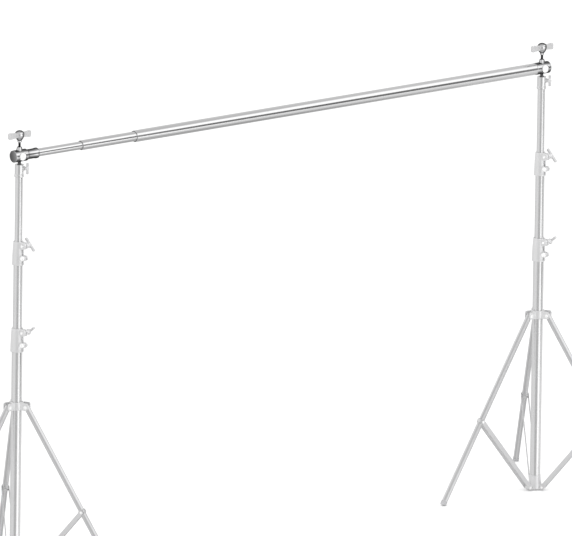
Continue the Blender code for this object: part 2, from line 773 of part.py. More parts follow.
def place_clamp(side, level, stand, meshes, tube_top, shift):
    """A clamp collar with its wing knob and its fixed bolt."""
    turn = Matrix.Rotation(EAR_AZIMUTH, 4, "Z")
    pivot = empty(f"{side}_{level}_clamp_frame", stand, (0, 0, tube_top), turn)
    place(f"{side}_{level}_clamp", meshes[f"{level}_clamp"], "cast_alloy", pivot)
    top = CLAMP_HEIGHT - CLAMP_GRIP
    bolt_at = (LOWER_EAR_REACH + shift, 0, top - LOWER_EAR_DROP)
    place(f"{side}_{level}_clamp_bolt", meshes["clamp_bolt"], "chrome_steel", pivot, bolt_at)
    knob_at = (UPPER_EAR_REACH + shift, 0, top - UPPER_EAR_DROP)
    knob_turn = Matrix.Rotation(-math.pi / 2, 4, "X") @ Matrix.Rotation(-WING_TILT[level], 4, "Z")
    name = f"{side}_{level}_clamp_wing_knob"
    place(name, meshes["clamp_wing_knob"], "cast_alloy", pivot, knob_at, knob_turn)


def place_tripod(side, stand, meshes):
    """The leg collar, and for each leg its foot and its brace."""
    pivot_height = leg_pivot_height()
    place(f"{side}_leg_collar", meshes["leg_collar"], "cast_alloy", stand, (0, 0, pivot_height))
    place_radial_knob(
        f"{side}_leg_collar_wing_knob",
        meshes["collar_wing_knob"],
        stand,
        COLLAR_KNOB_AZIMUTH,
        pivot_height,
        math.pi / 2,
    )
    _, brace_angle = brace_length_and_angle()
    for number, azimuth in enumerate(LEG_AZIMUTHS, start=1):
        way = Matrix.Rotation(azimuth, 4, "Z")
        leg_at = way @ Vector((LEG_PIVOT_REACH, 0, pivot_height))
        leg_turn = way @ Matrix.Rotation(-LEG_ANGLE, 4, "Y")
        pivot = empty(f"{side}_leg_{number}_pivot", stand, leg_at, leg_turn)
        place(f"{side}_leg_{number}", meshes["leg"], "satin_stainless", pivot)
        place(f"{side}_foot_{number}", meshes["foot"], "grey_rubber", pivot)
        brace_at = way @ Vector((HUB_PIVOT_REACH, 0, HUB_PIVOT_HEIGHT))
        brace_turn = way @ Matrix.Rotation(brace_angle, 4, "Y")
        name = f"{side}_brace_{number}"
        place(name, meshes["brace"], "satin_stainless", stand, brace_at, brace_turn)


def place_radial_knob(name, mesh, stand, azimuth, height, spin=0.0):
    """A knob whose screw points at the column's axis; its wings are upright before the spin."""
    sideways = Matrix.Rotation(math.pi / 2, 4, "Y") @ Matrix.Rotation(spin, 4, "Z")
    turn = Matrix.Rotation(azimuth, 4, "Z") @ sideways
    place(name, mesh, "cast_alloy", stand, (0, 0, height), turn)


def build_stand(side, x, meshes):
    stand = empty(f"{side}_stand", None, (x, 0, 0))
    for name, bottom in (
        ("column_tube", COLUMN_BOTTOM),
        ("mid_riser_tube", MID_BOTTOM),
        ("top_riser_tube", TOP_BOTTOM),
    ):
        place(f"{side}_{name}", meshes[name], "satin_stainless", stand, (0, 0, bottom))
    place(f"{side}_base_hub", meshes["base_hub"], "cast_alloy", stand)
    place_tripod(side, stand, meshes)
    place_clamp(side, "lower", stand, meshes, COLUMN_TOP, 0.0)
    place_clamp(side, "upper", stand, meshes, MID_TOP, MID_RADIUS - COLUMN_RADIUS)
    place(f"{side}_spigot_socket", meshes["spigot_socket"], "cast_alloy", stand)
    place(f"{side}_spigot", meshes["spigot"], "black_steel", stand)
    place_radial_knob(
        f"{side}_socket_wing_knob",
        meshes["socket_wing_knob"],
        stand,
        SOCKET_KNOB_AZIMUTH,
        SOCKET_KNOB_HEIGHT,
    )


def lay_tube(name, mesh, bar, start):
    place(name, mesh, "polished_stainless", bar, (start, 0, 0), Matrix.Rotation(math.pi / 2, 4, "Y"))


def build_crossbar(x):
    """The tubes, the heads and their bolts, from the left stand's axis."""
    bar = empty("crossbar", None, (x, 0, BAR_HEIGHT))
    thick_length = STAND_SPACING - RIGHT_HEAD_SHOULDER - GAP - THICK_START
    thin = tube_mesh("crossbar_thin_tube", THIN_RADIUS, THIN_WALL, THIN_LENGTH)
    middle = tube_mesh("crossbar_mid_tube", BAR_MID_RADIUS, BAR_MID_WALL, BAR_MID_LENGTH)
    thick = tube_mesh("crossbar_thick_tube", THICK_RADIUS, THICK_WALL, thick_length)
    lay_tube("crossbar_thin_tube", thin, bar, THIN_START)
    lay_tube("crossbar_mid_tube", middle, bar, BAR_MID_START)
    lay_tube("crossbar_thick_tube", thick, bar, THICK_START)

    barrel, t_bolt = cross_barrel_mesh(), t_bolt_mesh()
    for side, head, at in (
        ("left", left_head_mesh(), 0.0),
        ("right", right_head_mesh(), STAND_SPACING),
    ):
        place(f"crossbar_{side}_head", head, "chrome_steel", bar, (at, 0, 0))
        place(f"crossbar_{side}_cross_barrel", barrel, "chrome_steel", bar, (at, 0, 0))
        place(f"crossbar_{side}_t_handle_bolt", t_bolt, "chrome_steel", bar, (at, 0, 0))

    for name, end, inner, outer in (
        ("thin", THIN_START + THIN_LENGTH, THIN_RADIUS - THIN_WALL, BAR_MID_RADIUS - BAR_MID_WALL),
        ("mid", BAR_MID_START + BAR_MID_LENGTH, BAR_MID_RADIUS - BAR_MID_WALL, THICK_RADIUS - THICK_WALL),
    ):
        lock = twist_lock_mesh(f"crossbar_{name}_twist_lock", inner, outer)
        place(f"crossbar_{name}_twist_lock", lock, "nylon", bar, (end, 0, 0))


def build():
    clear_scene()
    new_collection(OBJECT)
    cutters = new_collection(OBJECT + "_cutters")
    cutters.hide_render = True
    for name in MATERIALS:
        new_material(name)
    meshes = stand_meshes()
    left = left_stand_x()
    build_stand("left", left, meshes)
    build_stand("right", left + STAND_SPACING, meshes)
    build_crossbar(left)


build()
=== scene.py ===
"""The looks of the background support system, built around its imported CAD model.

Metres, +Z up, in the frame of the CAD. Each CAD node with a visible surface is replaced by a finer
piece of the same size: turned tubes with rolled edges, cast collars and knobs with soft fillets,
chamfered bolts and cut threads. Every mesh carries its own coordinates in the "grain" attribute,
with z along the piece, so that brush lines follow the piece and not the world.
"""

import json
import math

import bmesh
import bpy
from mathutils import Matrix, Vector


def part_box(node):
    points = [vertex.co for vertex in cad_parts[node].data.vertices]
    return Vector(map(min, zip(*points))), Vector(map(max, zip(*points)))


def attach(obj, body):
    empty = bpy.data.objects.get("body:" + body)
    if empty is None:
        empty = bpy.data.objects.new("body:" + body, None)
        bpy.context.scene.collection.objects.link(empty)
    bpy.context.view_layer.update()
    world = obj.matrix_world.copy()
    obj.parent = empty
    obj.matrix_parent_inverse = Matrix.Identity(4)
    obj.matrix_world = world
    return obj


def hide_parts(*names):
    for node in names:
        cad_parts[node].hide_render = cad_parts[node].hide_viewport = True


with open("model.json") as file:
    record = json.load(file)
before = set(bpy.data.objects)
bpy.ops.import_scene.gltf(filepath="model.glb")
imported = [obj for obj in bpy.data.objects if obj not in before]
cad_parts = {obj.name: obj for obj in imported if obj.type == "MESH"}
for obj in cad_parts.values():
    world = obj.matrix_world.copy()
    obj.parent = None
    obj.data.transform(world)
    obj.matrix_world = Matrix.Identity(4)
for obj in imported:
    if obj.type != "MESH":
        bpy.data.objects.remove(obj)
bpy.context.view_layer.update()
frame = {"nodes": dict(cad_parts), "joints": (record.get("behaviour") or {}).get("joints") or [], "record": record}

BODIES = frame["record"]["behaviour"]["bodies"]
BODY_OF = {node: body for body, nodes in BODIES.items() for node in nodes}
JOINTS = {joint["name"]: joint for joint in frame["joints"]}
SIDES = ("left", "right")

# The clearance between neighbours that fit together
GAP = 0.0003
# Segments round a turned piece
FINEST, FINE, MEDIUM, SMALL = 128, 96, 64, 40

# Tube radii and walls
COLUMN_RADIUS, COLUMN_WALL = 0.0175, 0.0015
MID_RADIUS, MID_WALL = 0.0150, 0.0013
TOP_RADIUS, TOP_WALL = 0.0125, 0.0012
THICK_RADIUS, THICK_WALL = 0.0190, 0.0015
BAR_MID_RADIUS, BAR_MID_WALL = 0.0160, 0.0014
THIN_RADIUS, THIN_WALL = 0.0130, 0.0013

# Tripod
LEG_ANGLE = math.radians(31)
LEG_WAYS = [Matrix.Rotation(math.radians(azimuth), 4, "Z") for azimuth in (180, 60, -60)]
LEG_RADIUS, LEG_WALL, LEG_LENGTH = 0.0095, 0.0013, 0.680
LEG_PIVOT_REACH, LEG_TO_BRACE = 0.035, 0.380
FOOT_RADIUS, FOOT_HEAD, FOOT_PLUG = 0.0103, 0.014, 0.018
BRACKET_SIZE = (0.0215, 0.0206, 0.014)
PIVOT_RADIUS, PIVOT_HOLE_RADIUS = 0.003, 0.0033
PIN_HEAD_RADIUS, PIN_HEAD_HEIGHT = 0.0058, 0.0016
COLLAR_RADIUS, COLLAR_BELOW, COLLAR_ABOVE = 0.023, 0.011, 0.015
COLLAR_EAR, COLLAR_LUG_END, COLLAR_CLEARANCE = 0.004, 0.0435, 0.0004
HUB_BOTTOM, HUB_TOP, HUB_FLOOR = 0.003, 0.050, 0.0117
HUB_SKIRT = ((0.0190, 0.041), (0.0199, 0.032), (0.0209, 0.024), (0.0215, 0.019))
HUB_PIVOT_REACH, HUB_PIVOT_HEIGHT, HUB_LUG_RADIUS = 0.028, 0.011, 0.0075
STRIP_WIDTH, STRIP_THICKNESS, STRIP_INNER = 0.014, 0.002, 0.0108
RIVET_RADIUS, RIVET_HEIGHT = 0.0042, 0.0014

# Clamps and knobs
EAR_AZIMUTH = math.radians(-80)
SOCKET_KNOB_AZIMUTH = math.radians(-60)
COLLAR_KNOB_AZIMUTH = 0.0
WING_TILT = {"lower": math.radians(40), "upper": math.radians(-46)}
CLAMP_HEIGHT, CLAMP_GRIP, SLIT, EAR_WIDTH = 0.077, 0.035, 0.003, 0.0165
CLAMP_WALL_BOTTOM, CLAMP_WALL_TOP = 0.0050, 0.0040
UPPER_EAR_RADIUS, UPPER_EAR_DROP, UPPER_EAR_REACH = 0.0115, 0.012, 0.0275
LOWER_EAR_RADIUS, LOWER_EAR_DROP, LOWER_EAR_REACH = 0.0085, 0.052, 0.0295
BOLT_RADIUS, BOLT_HOLE_RADIUS = 0.004, 0.0043
KNOB_BOSS_RADIUS, KNOB_BOSS_HEIGHT, KNOB_BOSS_LIFT = 0.007, 0.008, 0.001

# Socket, spigot and crossbar heads
SOCKET_RADIUS, SOCKET_RIM_RADIUS = 0.0145, 0.0157
SPIGOT_RADIUS, SPIGOT_NECK_RADIUS = 0.0079, 0.0055
HEAD_RADIUS, HEAD_HALF = 0.0195, 0.025
SLEEVE_RADIUS, SLEEVE_FLARE, SLEEVE_END = 0.0160, 0.0172, 0.070
THIN_START = 0.030
RIGHT_HEAD_SHOULDER, RIGHT_HEAD_PLUG = 0.031, 0.035
BOSS_RADIUS, BOSS_TOP_RADIUS, BOSS_BASE, BOSS_TOP = 0.0125, 0.0075, 0.0105, 0.029
BARREL_RADIUS, BARREL_HALF = 0.0125, 0.0203
RECESS_RADIUS, RECESS_START = BARREL_RADIUS + 0.0020, 0.0165
T_STEM_TOP, T_STEM_BOTTOM = 0.044, -0.050

# Quarter turns that bring a piece from its own frame into the object's
STAND_UP = Matrix.Rotation(math.pi / 2, 4, "X")
LAY_ALONG_X = Matrix.Rotation(math.pi / 2, 4, "Y")


# ---------------------------------------------------------------- mesh tools


def turn_to(axis):
    """The rotation that takes +Z to the axis."""
    return Vector((0, 0, 1)).rotation_difference(Vector(axis)).to_matrix().to_4x4()


def mesh_from(tools, matrix=None):
    """A mesh of the bmesh, moved by the matrix, with its faces pointing out."""
    if matrix is not None:
        bmesh.ops.transform(tools, matrix=matrix, verts=tools.verts)
    bmesh.ops.recalc_face_normals(tools, faces=tools.faces)
    mesh = bpy.data.meshes.new("shell")
    tools.to_mesh(mesh)
    tools.free()
    return mesh


def rounded(points, radius, ring):
    """The outline with each corner rounded off; the two ends of an open outline stay."""
    steps = 3
    out = []
    for i, point in enumerate(points):
        at = Vector(point)
        if not ring and i in (0, len(points) - 1):
            out.append(at)
            continue
        before = Vector(points[i - 1]) - at
        after = Vector(points[(i + 1) % len(points)]) - at
        reach = min(radius, 0.45 * before.length, 0.45 * after.length)
        if reach < 1e-6 or before.angle(after) > math.radians(168):
            out.append(at)
            continue
        start, end = at + reach * before.normalized(), at + reach * after.normalized()
        for k in range(steps + 1):
            t = k / steps
            out.append((1 - t) ** 2 * start + 2 * t * (1 - t) * at + t * t * end)
    return out


def lathe(profile, segments=MEDIUM, fillet=0.0006, matrix=None):
    """A turned solid about Z. A profile that starts off the axis closes on itself into a ring."""
    ring = profile[0][0] > 1e-7
    tools = bmesh.new()
    rows = []
    for radius, height in rounded(profile, fillet, ring):
        if radius < 1e-7:
            rows.append([tools.verts.new((0, 0, height))])
            continue
        angles = [2 * math.pi * k / segments for k in range(segments)]
        row = [(radius * math.cos(a), radius * math.sin(a), height) for a in angles]
        rows.append([tools.verts.new(co) for co in row])
    pairs = list(zip(rows, rows[1:])) + ([(rows[-1], rows[0])] if ring else [])
    for first, second in pairs:
        for k in range(segments):
            corners = [first[k % len(first)], first[(k + 1) % len(first)]]
            corners += [second[(k + 1) % len(second)], second[k % len(second)]]
            corners = list(dict.fromkeys(corners))
            if len(corners) > 2:
                tools.faces.new(corners)
    return mesh_from(tools, matrix)


def rod(radius, length, centre=(0, 0, 0), axis=(0, 0, 1), fillet=0.0, segments=MEDIUM, end=None):
    """A cylinder or cone about its centre, with rounded rims; end is the radius the axis points to."""
    top = radius if end is None else end
    half = length / 2
    profile = [(0, half), (top, half), (radius, -half), (0, -half)]
    matrix = Matrix.Translation(centre) @ turn_to(axis)
    return lathe(profile, segments, fillet, matrix)


def block(size, centre, bevel=0.0):
    """A box about its centre, its edges rounded by the bevel if there is one."""
    tools = bmesh.new()
    bmesh.ops.create_cube(tools, size=1.0, matrix=Matrix.Diagonal((*size, 1.0)))
    if bevel:
        bmesh.ops.bevel(
            tools, geom=tools.edges[:], offset=bevel, segments=4, profile=0.5, affect="EDGES"
        )
    return mesh_from(tools, Matrix.Translation(centre))


def plate(outline, thickness, matrix, bevel=0.0):
    """The closed (x, y) outline, extruded to both sides of its plane, with softened rims."""
    tools = bmesh.new()
    low = [tools.verts.new((x, y, -thickness / 2)) for x, y in outline]
    high = [tools.verts.new((x, y, thickness / 2)) for x, y in outline]
    caps = [tools.faces.new(low), tools.faces.new(high)]
    for i in range(len(outline)):
        j = (i + 1) % len(outline)
        tools.faces.new((low[i], low[j], high[j], high[i]))
    if bevel:
        rims = list({edge for cap in caps for edge in cap.edges})
        bmesh.ops.bevel(
            tools, geom=rims, offset=bevel, segments=3, profile=0.5, affect="EDGES"
        )
    return mesh_from(tools, matrix)


def arc(centre, radius, start, end, steps):
    """Points along an arc, in degrees, both ends included."""
    angles = [math.radians(start + (end - start) * i / steps) for i in range(steps + 1)]
    return [(centre[0] + radius * math.cos(a), centre[1] + radius * math.sin(a)) for a in angles]


def thread(radius, low, high, pitch=0.00125, depth=0.00045, segments=32):
    """A threaded rod along Z, its thread running out at both ends."""
    rows_per_turn = 8
    count = max(2, round((high - low) / pitch * rows_per_turn))
    tools = bmesh.new()
    rows = []
    for i in range(count + 1):
        height = low + (high - low) * i / count
        fade = min(1.0, (height - low) / pitch, (high - height) / pitch)
        row = []
        for k in range(segments):
            turn = k / segments
            phase = (height / pitch - turn) % 1.0
            r = radius - depth * fade * (1 - abs(2 * phase - 1))
            a = 2 * math.pi * turn
            row.append(tools.verts.new((r * math.cos(a), r * math.sin(a), height)))
        rows.append(row)
    for first, second in zip(rows, rows[1:]):
        for k in range(segments):
            j = (k + 1) % segments
            tools.faces.new((first[k], first[j], second[j], second[k]))
    tools.faces.new(rows[0])
    tools.faces.new(rows[-1])
    return mesh_from(tools)


def joined(meshes):
    """The shells in one mesh, overlapping where they meet."""
    tools = bmesh.new()
    for mesh in meshes:
        tools.from_mesh(mesh)
    return mesh_from(tools)


def shaped(base, unions=(), cuts=(), overlaps=(), voxel=None, smooth=0):
    """The base shell, remeshed and smoothed if asked, then joined, cut and kept to its overlaps."""
    obj = bpy.data.objects.new("shape", base)
    bpy.context.scene.collection.objects.link(obj)
    helpers = []
    if voxel:
        remesh = obj.modifiers.new("Remesh", "REMESH")
        remesh.mode = "VOXEL"
        remesh.voxel_size = voxel
        if smooth:
            soften = obj.modifiers.new("Soften", "SMOOTH")
            soften.factor = 0.5
            soften.iterations = smooth
    steps = (("UNION", unions), ("DIFFERENCE", cuts), ("INTERSECT", overlaps))
    for operation, meshes in steps:
        for mesh in meshes:
            other = bpy.data.objects.new("tool", mesh)
            bpy.context.scene.collection.objects.link(other)
            helpers.append(other)
            boolean = obj.modifiers.new("Boolean", "BOOLEAN")
            boolean.operation = operation
            boolean.solver = "EXACT"
            boolean.object = other
    bpy.context.view_layer.update()
    graph = bpy.context.evaluated_depsgraph_get()
    mesh = bpy.data.meshes.new_from_object(obj.evaluated_get(graph))
    for other in [obj, *helpers]:
        bpy.data.objects.remove(other, do_unlink=True)
    return mesh


def cast(shells, cuts=(), voxel=0.0008, smooth=4):
    """A casting: the shells melted together with soft fillets, then machined."""
    return shaped(joined(shells), cuts=cuts, voxel=voxel, smooth=smooth)


def along(axis):
    """The rotation that turns a piece's own axis to z, for its grain."""
    return {"Z": Matrix.Identity(4), "X": Matrix.Rotation(-math.pi / 2, 4, "Y")}[axis]


def dressed(mesh, materials, grain="Z", choose=None, angle=38):
    """Shades the mesh, gives it its grain coordinates, and its materials."""
    mesh.materials.clear()
    for name in materials:
        mesh.materials.append(bpy.data.materials[name])
    for polygon in mesh.polygons:
        polygon.material_index = choose(polygon.center) if choose else 0
    mesh.shade_smooth()
    mesh.set_sharp_from_angle(angle=math.radians(angle))
    turn = along(grain)
    attribute = mesh.attributes.new("grain", "FLOAT_VECTOR", "POINT")
    for i, vertex in enumerate(mesh.vertices):
        attribute.data[i].vector = turn @ vertex.co
    return mesh


def put(node, mesh, matrix):
    """A fine piece that stands for a CAD node, on that node's body."""
    placed = mesh.copy()
    placed.transform(matrix)
    obj = bpy.data.objects.new(node + "_fine", placed)
    bpy.context.scene.collection.objects.link(obj)
    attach(obj, BODY_OF[node])
    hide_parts(node)


# ---------------------------------------------------------------- materials


def feed(tree, value, socket):
    """Sets the socket to a number, or links a node's output to it."""
    if isinstance(value, (int, float)):
        socket.default_value = value
    else:
        tree.links.new(value, socket)


def math_node(tree, operation, a, b=None, clamp=False):
    """The result of one operation on numbers or on other nodes' outputs."""
    node = tree.nodes.new("ShaderNodeMath")
    node.operation = operation
    node.use_clamp = clamp
    for socket, value in zip(node.inputs, (a, b)):
        if value is not None:
            feed(tree, value, socket)
    return node.outputs[0]


def mixed(tree, factor, first, second):
    """The first value where the factor is 0, the second where it is 1."""
    node = tree.nodes.new("ShaderNodeMix")
    for value, index in ((factor, 0), (first, 2), (second, 3)):
        feed(tree, value, node.inputs[index])
    return node.outputs[0]


def grey(tree, level):
    """A neutral colour of that level."""
    node = tree.nodes.new("ShaderNodeCombineColor")
    for channel in node.inputs[:3]:
        tree.links.new(level, channel)
    return node.outputs[0]


def remap(tree, value, low, high, to_low, to_high):
    """The value's range from low to high, eased into the new range and held beyond it."""
    node = tree.nodes.new("ShaderNodeMapRange")
    node.interpolation_type = "SMOOTHSTEP"
    tree.links.new(value, node.inputs["Value"])
    for name, number in (
        ("From Min", low),
        ("From Max", high),
        ("To Min", to_low),
        ("To Max", to_high),
    ):
        node.inputs[name].default_value = number
    return node.outputs["Result"]


def noise(tree, vector, scale, stretch=(1, 1, 1), detail=3.0, roughness=0.55):
    """Noise of about scale features a metre, denser along the stretched axes."""
    mapping = tree.nodes.new("ShaderNodeMapping")
    mapping.inputs["Scale"].default_value = [scale * s for s in stretch]
    tree.links.new(vector, mapping.inputs["Vector"])
    node = tree.nodes.new("ShaderNodeTexNoise")
    node.inputs["Scale"].default_value = 1.0
    node.inputs["Detail"].default_value = detail
    node.inputs["Roughness"].default_value = roughness
    tree.links.new(mapping.outputs["Vector"], node.inputs["Vector"])
    return node.outputs["Fac"]


def new_material(name):
    """An emptied material with a Principled shader, and the grain coordinates beside it."""
    material = bpy.data.materials.get(name) or bpy.data.materials.new(name)
    material.use_nodes = True
    tree = material.node_tree
    tree.nodes.clear()
    shader = tree.nodes.new("ShaderNodeBsdfPrincipled")
    output = tree.nodes.new("ShaderNodeOutputMaterial")
    tree.links.new(shader.outputs["BSDF"], output.inputs["Surface"])
    grain = tree.nodes.new("ShaderNodeAttribute")
    grain.attribute_name = "grain"
    return tree, shader, grain.outputs["Vector"]


def surface(
    name,
    tint,
    roughness,
    metallic=1.0,
    lines=(60, 60, 2600),
    line_depth=0.00002,
    smudge=0.06,
    tone=0.05,
    pits=0.0,
    wear=0.10,
    rim=1.0,
):
    """A finish with brush lines, smudges, scratches, pits and worn edges, painted shade in its crevices, and
    painted dark reflection towards its outline where rim is below 1.
    """
    line_rough, scratch_rough, crevice_shade = 0.05, 0.12, 0.28
    tree, shader, grain = new_material(name)
    brush = noise(tree, grain, 1.0, lines, detail=2.0)
    cloud = noise(tree, grain, 26.0, (1, 1, 0.35), detail=5.0, roughness=0.62)
    stain = noise(tree, grain, 7.0, (1, 1, 0.6), detail=3.0)
    fine = noise(tree, grain, 900.0, detail=2.0)
    streak = noise(tree, grain, 1.0, (700, 700, 22), detail=1.0)
    scratch = remap(tree, streak, 0.68, 0.74, 0.0, 1.0)

    point = tree.nodes.new("ShaderNodeNewGeometry").outputs["Pointiness"]
    edge = remap(tree, point, 0.515, 0.56, 0.0, 1.0)
    crevice = remap(tree, point, 0.44, 0.492, 1.0, 0.0)

    shade = math_node(tree, "ADD", math_node(tree, "MULTIPLY", brush, tone), 1.0 - tone)
    shade = math_node(tree, "MULTIPLY", shade, remap(tree, stain, 0.35, 0.70, 1.0, 1.0 - tone))
    # Painted shade: crevices and hollows are darkened in the colour, as if shade fell in them
    shade = math_node(tree, "SUBTRACT", shade, math_node(tree, "MULTIPLY", crevice, crevice_shade))
    shade = math_node(tree, "ADD", shade, math_node(tree, "MULTIPLY", edge, wear * 0.6))
    if pits:
        shade = math_node(tree, "MULTIPLY", shade, remap(tree, fine, 0.3, 0.5, 1.0 - pits, 1.0))
    # Painted dark reflection: where rim is below 1, the colour and the edge tint darken towards the outline,
    # standing in for dark surroundings reflected there
    if rim < 1.0:
        facing = tree.nodes.new("ShaderNodeLayerWeight")
        facing.inputs["Blend"].default_value = 0.5
        darker = remap(tree, facing.outputs["Facing"], 0.16, 0.46, 1.0, rim)
        shade = math_node(tree, "MULTIPLY", shade, darker)
        shader.inputs["Specular Tint"].default_value = (rim, rim, rim, 1.0)
    colour = tree.nodes.new("ShaderNodeMix")
    colour.data_type = "RGBA"
    colour.blend_type = "MULTIPLY"
    colour.inputs[0].default_value = 1.0
    colour.inputs[6].default_value = (*tint, 1.0)
    tree.links.new(grey(tree, shade), colour.inputs[7])
    tree.links.new(colour.outputs[2], shader.inputs["Base Color"])

    rough = math_node(tree, "ADD", math_node(tree, "MULTIPLY", brush, line_rough), roughness)
    rough = math_node(tree, "ADD", rough, remap(tree, cloud, 0.40, 0.72, 0.0, smudge))
    rough = math_node(tree, "ADD", rough, math_node(tree, "MULTIPLY", scratch, scratch_rough))
    rough = math_node(tree, "ADD", rough, math_node(tree, "MULTIPLY", edge, wear), clamp=True)
    tree.links.new(rough, shader.inputs["Roughness"])
    shader.inputs["Metallic"].default_value = metallic

    height = math_node(tree, "ADD", brush, math_node(tree, "MULTIPLY", scratch, -0.8))
    height = math_node(tree, "ADD", height, math_node(tree, "MULTIPLY", fine, 0.12 + 3 * pits))
    bump = tree.nodes.new("ShaderNodeBump")
    bump.inputs["Strength"].default_value = 0.6
    bump.inputs["Distance"].default_value = line_depth
    tree.links.new(height, bump.inputs["Height"])
    tree.links.new(bump.outputs["Normal"], shader.inputs["Normal"])


surface("satin_stainless", (0.95, 0.95, 0.955), 0.19, line_depth=0.000006, tone=0.04)
surface("leg_stainless", (0.80, 0.80, 0.805), 0.18, line_depth=0.000006, tone=0.04)
surface("strip_steel", (0.70, 0.70, 0.705), 0.30, metallic=0.62, tone=0.04)
surface("polished_stainless", (0.95, 0.95, 0.955), 0.09, line_depth=0.000004, smudge=0.02, tone=0.03)
surface(
    "cast_alloy",
    (0.86, 0.86, 0.865),
    0.30,
    metallic=0.62,
    lines=(260, 260, 260),
    pits=0.06,
    line_depth=0.00005,
)
# Chrome darkened towards its outline by rim: painted dark reflection
surface("chrome_steel", (0.93, 0.93, 0.94), 0.08, lines=(90, 90, 900), smudge=0.05, rim=0.22)
surface(
    "satin_alloy",
    (0.80, 0.80, 0.805),
    0.36,
    metallic=0.70,
    lines=(420, 420, 420),
    pits=0.05,
    line_depth=0.00004,
)
surface(
    "faced_steel",
    (0.96, 0.96, 0.96),
    0.42,
    metallic=0.30,
    lines=(900, 900, 900),
    line_depth=0.00001,
)
# Black steel of the T-bolts' stems, also used as painted shade in the heads' recesses
surface("black_steel", (0.035, 0.035, 0.038), 0.38, lines=(300, 300, 300), wear=0.2)
surface("zinc_steel", (0.30, 0.30, 0.305), 0.36, lines=(300, 300, 300))
surface(
    "grey_rubber",
    (0.50, 0.50, 0.51),
    0.66,
    metallic=0.0,
    lines=(700, 700, 700),
    line_depth=0.00008,
    pits=0.12,
)
surface("nylon", (0.10, 0.10, 0.105), 0.48, metallic=0.0, lines=(300, 300, 300), pits=0.05)


# ---------------------------------------------------------------- tubes


def tube(radius, wall, length, material, segments=FINE):
    """An open tube that stands on its own lower end."""
    profile = [(radius, length), (radius, 0), (radius - wall, 0), (radius - wall, length)]
    return dressed(lathe(profile, segments, 0.0004), [material])


# ---------------------------------------------------------------- tripod


def leg_pivot_height():
    return JOINTS["left_leg_1_hinge"]["pos_m"][2]


def leg():
    """A tube with a domed top, hanging from its pivot, and the sleeved bracket for its brace."""
    end = -(LEG_LENGTH - FOOT_HEAD - GAP)
    bore = LEG_RADIUS - LEG_WALL
    bore_top = -0.016
    dome = arc((0, 0), LEG_RADIUS, 90, 0, 10)
    profile = [(0.0, LEG_RADIUS), *dome[1:], (LEG_RADIUS, end), (bore, end)]
    profile += [(bore, bore_top), (0.0, bore_top)]
    body = lathe(profile, MEDIUM, 0.0003)
    lip_radius, lip_half = LEG_RADIUS + 0.0008, BRACKET_SIZE[2] / 2 + 0.0010
    at = (0, 0, -LEG_TO_BRACE)
    bracket = block(BRACKET_SIZE, at, bevel=0.0034)
    sleeve = rod(lip_radius, 2 * lip_half, at, fillet=0.0008)
    reach = 4 * LEG_RADIUS
    pin = rod(PIVOT_HOLE_RADIUS, reach, axis=(0, 1, 0), segments=SMALL)
    clear = rod(bore, 4 * lip_half, at)
    saddle = shaped(bracket, unions=[sleeve], cuts=[clear])
    return dressed(shaped(body, unions=[saddle], cuts=[pin]), ["leg_stainless"])


def foot():
    """A ribbed end cap, cut flat where it stands on the floor."""
    plug = LEG_RADIUS - LEG_WALL - GAP
    head_top, bottom = -(LEG_LENGTH - FOOT_HEAD), -LEG_LENGTH
    first_groove, pitch, depth, slope, flat = 0.0024, 0.0028, 0.0005, 0.0003, 0.0006
    profile = [(0.0, head_top + FOOT_PLUG), (plug, head_top + FOOT_PLUG), (plug, head_top)]
    profile.append((FOOT_RADIUS, head_top))
    for k in range(3):
        top = head_top - first_groove - pitch * k
        bottom_edge = top - 2 * slope - flat
        profile += [(FOOT_RADIUS, top), (FOOT_RADIUS - depth, top - slope)]
        profile += [(FOOT_RADIUS - depth, bottom_edge + slope), (FOOT_RADIUS, bottom_edge)]
    profile += [(FOOT_RADIUS, bottom + 0.0022), (FOOT_RADIUS - 0.002, bottom), (0.0, bottom)]
    mesh = lathe(profile, MEDIUM, 0.0003)
    up = Vector((math.sin(LEG_ANGLE), 0, math.cos(LEG_ANGLE)))
    tools = bmesh.new()
    tools.from_mesh(mesh)
    sliced = bmesh.ops.bisect_plane(
        tools,
        geom=tools.verts[:] + tools.edges[:] + tools.faces[:],
        plane_co=-leg_pivot_height() * up,
        plane_no=-up,
        clear_outer=True,
    )
    rim = [part for part in sliced["geom_cut"] if isinstance(part, bmesh.types.BMEdge)]
    bmesh.ops.edgeloop_fill(tools, edges=rim)
    return dressed(mesh_from(tools), ["grey_rubber"])


def dome_head(radius, height, centre, way, sunk=0.0006):
    """A domed rivet head that stands out along the way from a face."""
    dome = arc((0, 0), 1.0, 90, 0, 8)
    profile = [(radius * x, height * z) for x, z in dome]
    profile[0] = (0.0, height)
    profile += [(radius, -sunk), (0.0, -sunk)]
    return lathe(profile, SMALL, 0.0, Matrix.Translation(centre) @ turn_to(way))


def brace_length_and_angle():
    reach = LEG_PIVOT_REACH + LEG_TO_BRACE * math.sin(LEG_ANGLE)
    height = leg_pivot_height() - LEG_TO_BRACE * math.cos(LEG_ANGLE)
    out, up = reach - HUB_PIVOT_REACH, height - HUB_PIVOT_HEIGHT
    return math.hypot(out, up), math.atan2(out, up)


def brace():
    """Two flat strips on one pin, with domed rivets."""
    length, _ = brace_length_and_angle()
    half = STRIP_WIDTH / 2
    face = STRIP_INNER + STRIP_THICKNESS
    outline = arc((0, 0), half, 180, 360, 20) + arc((0, length), half, 0, 180, 20)
    shells = []
    for side in (-1, 1):
        middle = side * (STRIP_INNER + STRIP_THICKNESS / 2)
        place = Matrix.Translation((0, middle, 0)) @ STAND_UP
        shells.append(plate(outline, STRIP_THICKNESS, place, bevel=0.0004))
        for height in (0, length):
            at = (0, side * face, height)
            shells.append(dome_head(RIVET_RADIUS, RIVET_HEIGHT, at, (0, side, 0)))
    shells.append(rod(PIVOT_RADIUS, 2 * face - STRIP_THICKNESS, axis=(0, 1, 0), segments=SMALL))
    outer = face + 0.0001

    def bright(centre):
        return 1 if abs(centre.y) > outer else 0

    return dressed(joined(shells), ["strip_steel", "faced_steel"], choose=bright)


